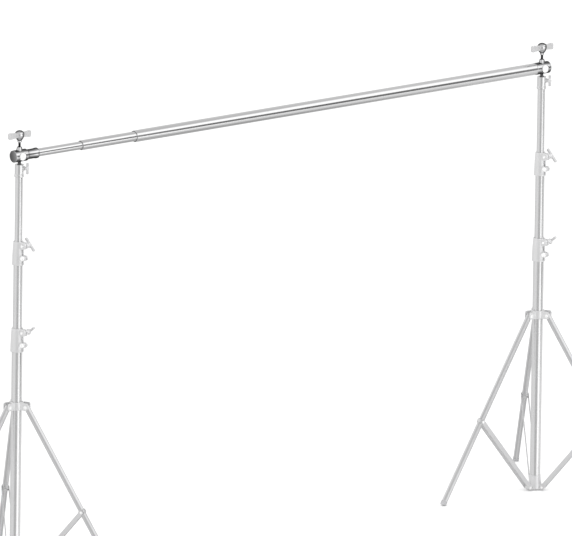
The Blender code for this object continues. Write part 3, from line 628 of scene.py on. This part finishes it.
def base_hub():
    """The casting at the foot of the column, flared below and lugged for the braces."""
    bore = COLUMN_RADIUS + GAP
    chamfer = 0.002
    skirt_radius = HUB_SKIRT[-1][0]
    profile = [
        (0.0, HUB_TOP),
        (bore + 0.0008, HUB_TOP),
        *HUB_SKIRT,
        (skirt_radius, HUB_BOTTOM + chamfer),
        (skirt_radius - chamfer, HUB_BOTTOM),
        (0.0, HUB_BOTTOM),
    ]
    shells = [lathe(profile, FINE, 0.0012)]
    half_width = STRIP_INNER - 0.0005
    pivot, root = (HUB_PIVOT_REACH, HUB_PIVOT_HEIGHT), 0.014
    outline = arc(pivot, HUB_LUG_RADIUS, -90, 90, 16)
    outline += [(root, HUB_PIVOT_HEIGHT + HUB_LUG_RADIUS), (root, HUB_PIVOT_HEIGHT - HUB_LUG_RADIUS)]
    shells += [plate(outline, 2 * half_width, way @ STAND_UP, bevel=0.0006) for way in LEG_WAYS]
    cuts = [rod(bore, 2 * HUB_TOP, (0, 0, HUB_FLOOR + HUB_TOP), segments=FINE)]
    for way in LEG_WAYS:
        centre = way @ Vector((HUB_PIVOT_REACH, 0, HUB_PIVOT_HEIGHT))
        across = way @ Vector((0, 1, 0))
        cuts.append(rod(PIVOT_HOLE_RADIUS, 0.05, centre, across, segments=SMALL))
    return dressed(cast(shells, cuts, smooth=3), ["cast_alloy"])


def knob_boss_and_hole(azimuth, ring_radius, height):
    """The round boss that a radial knob's screw passes through, and the screw's hole."""
    way = Vector((math.cos(azimuth), math.sin(azimuth), 0))
    up = Vector((0, 0, height))
    middle = ring_radius + KNOB_BOSS_LIFT
    boss = rod(KNOB_BOSS_RADIUS, KNOB_BOSS_HEIGHT, middle * way + up, way, 0.0008)
    start, length = middle - KNOB_BOSS_HEIGHT - 0.001, 0.030
    hole = rod(BOLT_HOLE_RADIUS, length, (start + length / 2) * way + up, way, segments=SMALL)
    return boss, hole


def leg_collar():
    """The sliding ring, with a pair of rounded ears for each leg and domed pins through them."""
    height = COLLAR_ABOVE + COLLAR_BELOW
    middle = (COLLAR_ABOVE - COLLAR_BELOW) / 2
    slot_half = LEG_RADIUS + COLLAR_CLEARANCE
    face = slot_half + COLLAR_EAR
    boss, hole = knob_boss_and_hole(COLLAR_KNOB_AZIMUTH, COLLAR_RADIUS, 0.0)
    shells = [rod(COLLAR_RADIUS, height, (0, 0, middle), fillet=0.0016, segments=FINE), boss]
    corner, root, low, high = 0.0055, 0.012, -COLLAR_BELOW + 0.0005, COLLAR_ABOVE - 0.0005
    outline = arc((COLLAR_LUG_END - corner, low + corner), corner, -90, 0, 8)
    outline += arc((COLLAR_LUG_END - corner, high - corner), corner, 0, 90, 8)
    outline += [(root, high), (root, low)]
    pins, heads = [], []
    for way in LEG_WAYS:
        pivot = way @ Vector((LEG_PIVOT_REACH, 0, 0))
        across = way @ Vector((0, 1, 0))
        for side in (-1, 1):
            aside = Matrix.Translation((0, side * (slot_half + COLLAR_EAR / 2), 0))
            shells.append(plate(outline, COLLAR_EAR, way @ aside @ STAND_UP, bevel=0.0007))
            at = pivot + side * face * across
            heads.append(dome_head(PIN_HEAD_RADIUS, PIN_HEAD_HEIGHT, at, side * across))
        pins.append(rod(PIVOT_RADIUS, 2 * face - COLLAR_EAR, pivot, across, segments=SMALL))
    bore = rod(COLUMN_RADIUS + COLLAR_CLEARANCE, 3 * height, (0, 0, middle), segments=FINE)
    casting = dressed(cast(shells, [bore, hole], smooth=3), ["cast_alloy"])
    extra = dressed(joined(pins + heads), ["faced_steel"])
    return merged(casting, extra)


def merged(*meshes):
    """Dressed meshes in one, each keeping its materials and grain."""
    names = []
    for mesh in meshes:
        names += [material.name for material in mesh.materials]
    tools = bmesh.new()
    start = 0
    for mesh in meshes:
        before = len(tools.faces)
        tools.from_mesh(mesh)
        tools.faces.ensure_lookup_table()
        for face in tools.faces[before:]:
            face.material_index += start
        start += len(mesh.materials)
    out = bpy.data.meshes.new("merged")
    tools.to_mesh(out)
    tools.free()
    for name in names:
        out.materials.append(bpy.data.materials[name])
    return out


# ---------------------------------------------------------------- clamps and knobs


def clamp(lower_radius, upper_radius):
    """A cast split collar with two ears; its ears point along +X."""
    bottom, top = -CLAMP_GRIP, CLAMP_HEIGHT - CLAMP_GRIP
    lower_bore, upper_bore = lower_radius + GAP, upper_radius + GAP
    outer_top, outer_bottom = upper_radius + CLAMP_WALL_TOP, lower_radius + CLAMP_WALL_BOTTOM
    profile = [
        (0.0, top),
        (outer_top, top),
        (outer_top, top - 0.003),
        (outer_bottom - 0.0012, 0.002),
        (outer_bottom - 0.0006, bottom + 0.008),
        (outer_bottom, bottom + 0.005),
        (outer_bottom, bottom),
        (0.0, bottom),
    ]
    shells = [lathe(profile, FINE, 0.0010)]
    cuts = [
        rod(upper_bore, 0.2, segments=FINE),
        rod(lower_bore, 0.1, (0, 0, GAP - 0.05), segments=FINE),
    ]
    shift = lower_radius - COLUMN_RADIUS
    for ear_radius, drop, reach in (
        (UPPER_EAR_RADIUS, UPPER_EAR_DROP, UPPER_EAR_REACH + shift),
        (LOWER_EAR_RADIUS, LOWER_EAR_DROP, LOWER_EAR_REACH + shift),
    ):
        height = top - drop
        inner = lower_bore + 0.0012
        neck = (reach - inner, EAR_WIDTH - 0.001, 2 * ear_radius - 0.001)
        shells.append(block(neck, ((reach + inner) / 2, 0, height)))
        shells.append(rod(ear_radius, EAR_WIDTH, (reach, 0, height), (0, 1, 0), 0.0012))
        cuts.append(rod(BOLT_HOLE_RADIUS, 0.05, (reach, 0, height), (0, 1, 0), segments=SMALL))
    cuts.insert(2, block((0.060, SLIT, 2 * CLAMP_HEIGHT), (0.030, 0, 0)))
    return dressed(cast(shells, cuts, voxel=0.0009), ["cast_alloy"])


def hexagon(corner_radius, height, centre, axis):
    """A six-sided head with both rims chamfered."""
    half, slope = height / 2, corner_radius * 0.12
    matrix = Matrix.Translation(centre) @ turn_to(axis)
    prism = rod(corner_radius, height, segments=6)
    face, widest = 0.86 * corner_radius, 1.01 * corner_radius
    profile = [(0.0, half), (face, half), (widest, half - slope)]
    profile += [(widest, -half + slope), (face, -half), (0.0, -half)]
    turning = lathe(profile, MEDIUM, 0.0)
    mesh = shaped(prism, overlaps=[turning])
    mesh.transform(matrix)
    return mesh


def hex_bolt():
    """A hex head, a nut and their washers on a threaded shank along Y."""
    half = EAR_WIDTH / 2 + GAP
    corner, head, nut, thread_end, washer = 0.0075, 0.0055, 0.0060, 0.0020, 0.0010
    turn = Matrix.Rotation(-math.pi / 2, 4, "X")
    low, high = -half - nut - thread_end, half + head / 2
    shank = thread(BOLT_RADIUS, low, high)
    shank.transform(turn)
    shells = [
        shank,
        rod(corner, washer, (0, half + washer / 2, 0), (0, 1, 0), 0.0003),
        rod(corner, washer, (0, -half - washer / 2, 0), (0, 1, 0), 0.0003),
        hexagon(corner, head - washer, (0, half + (head + washer) / 2, 0), (0, 1, 0)),
        hexagon(corner, nut - washer, (0, -half - (nut + washer) / 2, 0), (0, 1, 0)),
    ]
    return dressed(joined(shells), ["faced_steel"], angle=30)


def wings(span, height):
    """Half-turn symmetric outline of a pair of paddles, a little narrower at the hub."""
    tip = height / 2
    corner = tip * 0.45
    waist = height * 0.40
    right = [(span * 0.10, -waist), (span * 0.24, -waist * 1.02), (span / 2 - corner, -tip)]
    right += arc((span / 2 - corner, -tip + corner), corner, -90, 0, 6)[1:]
    right += arc((span / 2 - corner, tip - corner), corner, 0, 90, 6)
    right += [(span * 0.24, waist * 1.02), (span * 0.10, waist)]
    return right + [(-x, -y) for x, y in right]


def knob(
    hub_radius,
    hub_height,
    neck,
    span,
    wing,
    seat,
    stem,
    voxel=0.0006,
    materials=("cast_alloy", "satin_alloy", "faced_steel"),
):
    """An egg-shaped hub with two wings, on a threaded screw that points down -Z.

    wing is the wings' height, thickness and middle; stem is the screw's radius and lower end;
    the materials are those of the hub, the wings and the screw.
    """
    wing_height, wing_thickness, wing_middle = wing
    stem_radius, stem_end = stem
    top = seat + hub_height
    dome = 0.75 * hub_radius
    belly = top - dome
    throat = seat + hub_height * 0.16
    neck_angle = math.acos(neck / hub_radius)
    taper = (belly - throat) / math.sin(neck_angle)
    profile = [(0.0, top)]
    for x, z in arc((0, 0), 1.0, 90, 0, 12)[1:]:
        profile.append((hub_radius * x, belly + dome * z))
    for x, z in arc((0, 0), 1.0, 0, -math.degrees(neck_angle), 8)[1:]:
        profile.append((hub_radius * x, belly + taper * z))
    profile += [(neck, seat), (0.0, seat)]
    place = Matrix.Translation((0, 0, wing_middle)) @ STAND_UP
    shells = [lathe(profile, MEDIUM, 0.0010)]
    shells.append(plate(wings(span, wing_height), wing_thickness, place, bevel=0.0012))
    hub_limit = hub_radius * 0.96

    def side(centre):
        return 1 if abs(centre.x) > hub_limit else 0

    body = dressed(cast(shells, voxel=voxel, smooth=5), materials[:2], choose=side, angle=60)
    screw = dressed(thread(stem_radius, stem_end, seat + 0.002), [materials[2]])
    return merged(body, screw)


def clamp_knob():
    half = EAR_WIDTH / 2
    return knob(
        hub_radius=0.0095,
        hub_height=0.022,
        neck=0.0065,
        span=0.052,
        wing=(0.010, 0.0065, half + 0.0195),
        seat=half + GAP,
        stem=(BOLT_RADIUS, -half - 0.004),
    )


def radial_knob(pressed_radius, ring_radius):
    """A small knob on a ring's boss; its screw presses on the part inside the ring."""
    seat = ring_radius + KNOB_BOSS_LIFT + KNOB_BOSS_HEIGHT / 2 + GAP
    return knob(
        hub_radius=0.0080,
        hub_height=0.014,
        neck=0.0055,
        span=0.036,
        wing=(0.009, 0.0055, seat + 0.0085),
        seat=seat,
        stem=(BOLT_RADIUS, pressed_radius + 0.0006),
    )


def t_bolt():
    """The T-handle and its long bolt through the crossbar's head."""
    return knob(
        hub_radius=0.0150,
        hub_height=0.039,
        neck=0.0065,
        span=0.088,
        wing=(0.021, 0.0095, T_STEM_TOP + 0.0235),
        seat=T_STEM_TOP,
        stem=(BOLT_RADIUS, T_STEM_BOTTOM),
        voxel=0.0008,
        materials=("chrome_steel", "satin_alloy", "black_steel"),
    )


# ---------------------------------------------------------------- socket, spigot and heads


def socket(bottom, top, tube_top, knob_height):
    """The receiver: the riser's tube in its lower bore, the spigot in its upper one."""
    tube_bore, spigot_bore = TOP_RADIUS + GAP, SPIGOT_RADIUS + GAP
    rim = bottom + 0.007
    profile = [
        (0.0, top),
        (SOCKET_RADIUS, top),
        (SOCKET_RADIUS, rim + 0.0012),
        (SOCKET_RIM_RADIUS, rim),
        (SOCKET_RIM_RADIUS, bottom),
        (0.0, bottom),
    ]
    boss, hole = knob_boss_and_hole(SOCKET_KNOB_AZIMUTH, SOCKET_RADIUS, knob_height)
    floor = tube_top + GAP
    cuts = [
        rod(spigot_bore, 0.2, (0, 0, floor)),
        rod(tube_bore, 0.1, (0, 0, floor - 0.05)),
        hole,
    ]
    shells = [lathe(profile, FINE, 0.0009), boss]
    return dressed(cast(shells, cuts, voxel=0.0007, smooth=3), ["satin_stainless"])


def spigot(bottom, neck_base, top):
    """The stud, with a threaded neck above it."""
    body = lathe(
        [
            (SPIGOT_RADIUS, neck_base),
            (SPIGOT_RADIUS, bottom),
            (BOLT_HOLE_RADIUS, bottom),
            (BOLT_HOLE_RADIUS, neck_base),
        ],
        MEDIUM,
        0.0004,
    )
    neck = thread(SPIGOT_NECK_RADIUS, neck_base - 0.001, top, depth=0.0006)
    hole = rod(BOLT_HOLE_RADIUS, 0.2, (0, 0, top), segments=SMALL)
    return dressed(joined([body, shaped(neck, cuts=[hole])]), ["zinc_steel"])


def head_cuts():
    """The cross bore with its recessed rims, and the hole for the bolt."""
    cuts = [rod(BARREL_RADIUS + GAP, 4 * HEAD_RADIUS, axis=(0, 1, 0))]
    for side in (-1, 1):
        centre = (0, side * (RECESS_START + HEAD_RADIUS), 0)
        cuts.append(rod(RECESS_RADIUS, 2 * HEAD_RADIUS, centre, (0, 1, 0)))
    return cuts + [rod(BOLT_HOLE_RADIUS, 4 * HEAD_RADIUS, segments=SMALL)]


def recessed(centre):
    """The recess's wall and floor get the black finish, a painted shade in the recess; the rest of the head is
    plated.
    """
    skin = math.sqrt(max(HEAD_RADIUS**2 - centre.z**2, 0.0))
    inside = RECESS_START - 0.0002 < abs(centre.y) < skin - 0.0004
    return 1 if inside and math.hypot(centre.x, centre.z) < RECESS_RADIUS + 0.0002 else 0


def head_boss():
    """The cone on top of a head, round the bolt."""
    length = BOSS_TOP - BOSS_BASE
    centre = (0, 0, BOSS_BASE + length / 2)
    return rod(BOSS_RADIUS, length, centre, fillet=0.0009, end=BOSS_TOP_RADIUS)


def left_head():
    """The head with the flared sleeve that grips the thin tube."""
    profile = [
        (0.0, SLEEVE_END),
        (SLEEVE_FLARE, SLEEVE_END),
        (SLEEVE_FLARE, SLEEVE_END - 0.008),
        (SLEEVE_RADIUS, SLEEVE_END - 0.014),
        (SLEEVE_RADIUS, HEAD_HALF + 0.003),
        (HEAD_RADIUS, HEAD_HALF),
        (HEAD_RADIUS, -HEAD_HALF),
        (0.0, -HEAD_HALF),
    ]
    solid = lathe(profile, FINE, 0.0010, LAY_ALONG_X)
    depth = SLEEVE_END - (THIN_START - GAP)
    tube_bore = rod(THIN_RADIUS + GAP, 2 * depth, (SLEEVE_END, 0, 0), (1, 0, 0))
    mesh = shaped(solid, unions=[head_boss()], cuts=[tube_bore, *head_cuts()])
    return dressed(mesh, ["chrome_steel", "black_steel"], grain="X", choose=recessed)


def right_head():
    """The head whose plug sits in the thick tube."""
    plug = THICK_RADIUS - THICK_WALL - GAP
    profile = [
        (0.0, HEAD_HALF),
        (HEAD_RADIUS, HEAD_HALF),
        (HEAD_RADIUS, -RIGHT_HEAD_SHOULDER),
        (plug, -RIGHT_HEAD_SHOULDER),
        (plug, -RIGHT_HEAD_SHOULDER - RIGHT_HEAD_PLUG),
        (0.0, -RIGHT_HEAD_SHOULDER - RIGHT_HEAD_PLUG),
    ]
    solid = lathe(profile, FINE, 0.0010, LAY_ALONG_X)
    mesh = shaped(solid, unions=[head_boss()], cuts=head_cuts())
    return dressed(mesh, ["chrome_steel", "black_steel"], grain="X", choose=recessed)


def cross_barrel():
    """The barrel nut across a head, bored for the bolt."""
    half = BARREL_HALF
    profile = [(0.0, half), (BARREL_RADIUS, half), (BARREL_RADIUS, -half), (0.0, -half)]
    barrel = lathe(profile, FINE, 0.0009, STAND_UP)
    hole = rod(BOLT_HOLE_RADIUS, 4 * HEAD_RADIUS, segments=SMALL)
    return dressed(shaped(barrel, cuts=[hole]), ["faced_steel"])


# ---------------------------------------------------------------- assembly


def axis_x(node):
    """The x of an upright node's axis."""
    low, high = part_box(node)
    return (low.x + high.x) / 2


def build_stands():
    """Makes each kind of piece once and places it on both stands."""
    made = {
        "leg": leg(),
        "foot": foot(),
        "brace": brace(),
        "base_hub": base_hub(),
        "leg_collar": leg_collar(),
        "lower_clamp": clamp(COLUMN_RADIUS, MID_RADIUS),
        "upper_clamp": clamp(MID_RADIUS, TOP_RADIUS),
        "clamp_bolt": hex_bolt(),
        "clamp_knob": clamp_knob(),
        "collar_knob": radial_knob(COLUMN_RADIUS, COLLAR_RADIUS),
        "socket_knob": radial_knob(SPIGOT_RADIUS, SOCKET_RADIUS),
    }
    for name, radius, wall in (
        ("column_tube", COLUMN_RADIUS, COLUMN_WALL),
        ("mid_riser_tube", MID_RADIUS, MID_WALL),
        ("top_riser_tube", TOP_RADIUS, TOP_WALL),
    ):
        low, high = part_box("left_" + name)
        made[name] = tube(radius, wall, high.z - low.z, "satin_stainless")
    socket_low, socket_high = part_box("left_spigot_socket")
    tube_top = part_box("left_top_riser_tube")[1].z
    knob_z = JOINTS["left_socket_knob_turn"]["pos_m"][2]
    made["socket"] = socket(socket_low.z, socket_high.z, tube_top, knob_z)
    spigot_low, spigot_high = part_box("left_spigot")
    made["spigot"] = spigot(spigot_low.z, socket_high.z + 0.0005, spigot_high.z)
    for side in SIDES:
        build_stand(side, made)


def build_stand(side, made):
    stand = Matrix.Translation((axis_x(f"{side}_column_tube"), 0, 0))
    for name in ("column_tube", "mid_riser_tube", "top_riser_tube"):
        low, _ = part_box(f"{side}_{name}")
        put(f"{side}_{name}", made[name], stand @ Matrix.Translation((0, 0, low.z)))
    put(f"{side}_base_hub", made["base_hub"], stand)

    pivot_height = leg_pivot_height()
    collar = stand @ Matrix.Translation((0, 0, pivot_height))
    put(f"{side}_leg_collar", made["leg_collar"], collar)
    wings_flat = Matrix.Rotation(math.pi / 2, 4, "Z")
    knob_turn = Matrix.Rotation(COLLAR_KNOB_AZIMUTH, 4, "Z") @ LAY_ALONG_X @ wings_flat
    put(f"{side}_leg_collar_wing_knob", made["collar_knob"], collar @ knob_turn)

    _, brace_angle = brace_length_and_angle()
    for number, way in enumerate(LEG_WAYS, start=1):
        pivot = Matrix.Translation(JOINTS[f"{side}_leg_{number}_hinge"]["pos_m"])
        leg_place = pivot @ way @ Matrix.Rotation(-LEG_ANGLE, 4, "Y")
        put(f"{side}_leg_{number}", made["leg"], leg_place)
        put(f"{side}_foot_{number}", made["foot"], leg_place)
        pivot = Matrix.Translation(JOINTS[f"{side}_brace_{number}_hinge"]["pos_m"])
        brace_place = pivot @ way @ Matrix.Rotation(brace_angle, 4, "Y")
        put(f"{side}_brace_{number}", made["brace"], brace_place)

    for level, tube_node, shift in (
        ("lower", "column_tube", 0.0),
        ("upper", "mid_riser_tube", MID_RADIUS - COLUMN_RADIUS),
    ):
        tube_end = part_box(f"{side}_{tube_node}")[1].z
        turn = Matrix.Rotation(EAR_AZIMUTH, 4, "Z")
        place = stand @ Matrix.Translation((0, 0, tube_end)) @ turn
        put(f"{side}_{level}_clamp", made[f"{level}_clamp"], place)
        top = CLAMP_HEIGHT - CLAMP_GRIP
        bolt = Matrix.Translation((LOWER_EAR_REACH + shift, 0, top - LOWER_EAR_DROP))
        put(f"{side}_{level}_clamp_bolt", made["clamp_bolt"], place @ bolt)
        at = Matrix.Translation((UPPER_EAR_REACH + shift, 0, top - UPPER_EAR_DROP))
        tilt = Matrix.Rotation(-math.pi / 2, 4, "X") @ Matrix.Rotation(-WING_TILT[level], 4, "Z")
        put(f"{side}_{level}_clamp_wing_knob", made["clamp_knob"], place @ at @ tilt)

    put(f"{side}_spigot_socket", made["socket"], stand)
    put(f"{side}_spigot", made["spigot"], stand)
    knob_z = JOINTS[f"{side}_socket_knob_turn"]["pos_m"][2]
    knob_turn = Matrix.Rotation(SOCKET_KNOB_AZIMUTH, 4, "Z") @ LAY_ALONG_X
    lift = Matrix.Translation((0, 0, knob_z))
    put(f"{side}_socket_wing_knob", made["socket_knob"], stand @ lift @ knob_turn)


def build_crossbar():
    """The three tubes and the two heads. The hidden twist locks stay and only get a finish."""
    bar_z = JOINTS["left_head_swivel"]["pos_m"][2]
    for name, radius, wall in (
        ("thin", THIN_RADIUS, THIN_WALL),
        ("mid", BAR_MID_RADIUS, BAR_MID_WALL),
        ("thick", THICK_RADIUS, THICK_WALL),
    ):
        node = f"crossbar_{name}_tube"
        low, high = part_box(node)
        mesh = tube(radius, wall, high.x - low.x, "polished_stainless", FINEST)
        put(node, mesh, Matrix.Translation((low.x, 0, bar_z)) @ LAY_ALONG_X)
    barrel, bolt = cross_barrel(), t_bolt()
    for side, head in (("left", left_head()), ("right", right_head())):
        place = Matrix.Translation((axis_x(f"{side}_column_tube"), 0, bar_z))
        put(f"crossbar_{side}_head", head, place)
        put(f"crossbar_{side}_cross_barrel", barrel, place)
        put(f"crossbar_{side}_t_handle_bolt", bolt, place)
    for name in ("crossbar_thin_twist_lock", "crossbar_mid_twist_lock"):
        lock = frame["nodes"][name]
        for material_slot in lock.material_slots:
            material_slot.material = bpy.data.materials["nylon"]


build_stands()
build_crossbar()


# ---------------------------------------------------------------- floor, light and camera


# The studio that mirror-like surfaces see. Each patch: the azimuth and elevation of its centre,
# half its width and height, all in degrees, and its brightness. Later ones lie on earlier ones.
STUDIO_PATCHES = (
    ((-62, 33), (48, 16), 1.12),  # softbox, high in front: the crossbar's light band
    ((150, -14), (50, 18), 0.74),  # grey wall, low on the left: the columns' left side
    ((-185, -14), (32, 18), 0.74),  # the same wall past the seam at 180 degrees
    ((15, -14), (40, 18), 0.76),  # grey wall, low on the right: the columns' right edge
    ((-132, -14), (24, 16), 0.44),  # dark gap behind the camera: the columns' dark line
    ((-78, -14), (22, 13), 1.32),  # softbox, low in front: the columns' highlight
    ((-46, -14), (12, 11), 0.86),  # paler strip beside it
    ((-44, -31), (30, 8), 0.66),  # grey strip below the two
    ((-52, 3.5), (15, 14), 0.14),  # black gap between the softboxes: the crossbar's dark line
    ((129, -14), (14, 10), 0.60),  # grey card on the left wall: the left head's end
    ((0, -76), (400, 16), 0.66),  # the floor, all round
    ((128, 25), (32, 20), 0.90),  # softbox, high on the left and behind
)
# What the camera and matt surfaces see in every direction
STUDIO_WHITE = 1.16


def build_floor():
    """A wide, matt and nearly white floor, not seen in reflections."""
    half = 150.0
    tools = bmesh.new()
    bmesh.ops.create_grid(tools, x_segments=1, y_segments=1, size=half)
    floor = bpy.data.objects.new("studio_floor", mesh_from(tools))
    bpy.context.scene.collection.objects.link(floor)
    tree, shader, _ = new_material("studio_floor")
    where = tree.nodes.new("ShaderNodeTexCoord").outputs["Object"]
    tone = remap(tree, noise(tree, where, 3.0, detail=4.0), 0.3, 0.7, 0.925, 0.945)
    tree.links.new(grey(tree, tone), shader.inputs["Base Color"])
    shader.inputs["Roughness"].default_value = 0.9
    shader.inputs["Specular IOR Level"].default_value = 0.0
    floor.data.materials.append(bpy.data.materials["studio_floor"])
    floor.visible_glossy = False


def patch(tree, azimuth, elevation, centre, half_size, soft=0.35):
    """1 inside a soft-edged rectangle of directions, in degrees, and 0 outside it."""
    parts = []
    for angle, middle, half in zip((azimuth, elevation), centre, half_size):
        away = math_node(tree, "ABSOLUTE", math_node(tree, "SUBTRACT", angle, middle))
        parts.append(math_node(tree, "DIVIDE", away, half))
    furthest = math_node(tree, "MAXIMUM", *parts)
    return remap(tree, furthest, 1 - soft, 1 + soft, 1.0, 0.0)


def build_world():
    """White light from all round. Mirror-like surfaces see a studio with softboxes and dark gaps."""
    world = bpy.data.worlds.new("studio")
    bpy.context.scene.world = world
    world.use_nodes = True
    world.cycles.sampling_method = "NONE"
    tree = world.node_tree
    tree.nodes.clear()
    split = tree.nodes.new("ShaderNodeSeparateXYZ")
    tree.links.new(tree.nodes.new("ShaderNodeTexCoord").outputs["Generated"], split.inputs[0])
    x, y, z = split.outputs
    degrees = 180 / math.pi
    elevation = math_node(tree, "MULTIPLY", math_node(tree, "ARCSINE", z), degrees)
    azimuth = math_node(tree, "MULTIPLY", math_node(tree, "ARCTAN2", y, x), degrees)

    # Between the patches: dark below, mid-grey above, and a little darker again overhead
    level = remap(tree, elevation, -50, -42, 0.35, 0.60)
    ceiling = remap(tree, elevation, 44, 56, 0.0, 0.08)
    level = math_node(tree, "SUBTRACT", level, ceiling)
    for centre, half_size, brightness in STUDIO_PATCHES:
        inside = patch(tree, azimuth, elevation, centre, half_size)
        level = mixed(tree, inside, level, brightness)

    glossy = tree.nodes.new("ShaderNodeLightPath").outputs["Is Glossy Ray"]
    strength = mixed(tree, glossy, STUDIO_WHITE, level)
    background = tree.nodes.new("ShaderNodeBackground")
    background.inputs["Color"].default_value = (1, 1, 1, 1)
    tree.links.new(strength, background.inputs["Strength"])
    output = tree.nodes.new("ShaderNodeOutputWorld")
    tree.links.new(background.outputs[0], output.inputs["Surface"])


def build_light():
    """One large softbox overhead, in front, not seen in reflections."""
    data = bpy.data.lights.new("overhead_softbox", "AREA")
    data.shape = "RECTANGLE"
    data.size, data.size_y = 5.0, 3.5
    data.energy = 60
    light = bpy.data.objects.new("overhead_softbox", data)
    light.location = (0.6, -1.6, 4.2)
    light.rotation_euler = (-light.location).to_track_quat("-Z", "Y").to_euler()
    light.visible_glossy = False
    bpy.context.scene.collection.objects.link(light)


def build_camera():
    """The long lens, from the left front and a little above."""
    azimuth, elevation, roll = math.radians(-38.85), math.radians(13.47), math.radians(0.816)
    distance, frame_width, sensor = 80.0, 1.8384, 36.0
    right_shift, down_shift = 0.0105, 0.5033
    sin_a, cos_a = math.sin(azimuth), math.cos(azimuth)
    sin_e, cos_e = math.sin(elevation), math.cos(elevation)
    level = Vector((cos_a, sin_a, 0))
    upright = Vector((-sin_a * sin_e, cos_a * sin_e, cos_e))
    right = math.cos(roll) * level + math.sin(roll) * upright
    up = math.cos(roll) * upright - math.sin(roll) * level
    back = Vector((sin_a * cos_e, -cos_a * cos_e, sin_e))
    ends = [Vector(JOINTS[f"{side}_t_handle_turn"]["pos_m"]) for side in SIDES]
    aim = (ends[0] + ends[1]) / 2 + right_shift * right - down_shift * up
    data = bpy.data.cameras.new("camera")
    data.sensor_width = sensor
    data.lens = sensor * distance / frame_width
    data.clip_end = 900
    camera = bpy.data.objects.new("camera", data)
    camera.matrix_world = Matrix.Translation(aim + distance * back) @ Matrix(
        (
            (right.x, up.x, back.x, 0),
            (right.y, up.y, back.y, 0),
            (right.z, up.z, back.z, 0),
            (0, 0, 0, 1),
        )
    )
    bpy.context.scene.collection.objects.link(camera)
    bpy.context.scene.camera = camera


build_floor()
build_world()
build_light()
build_camera()
bpy.context.scene.view_settings.view_transform = "Standard"
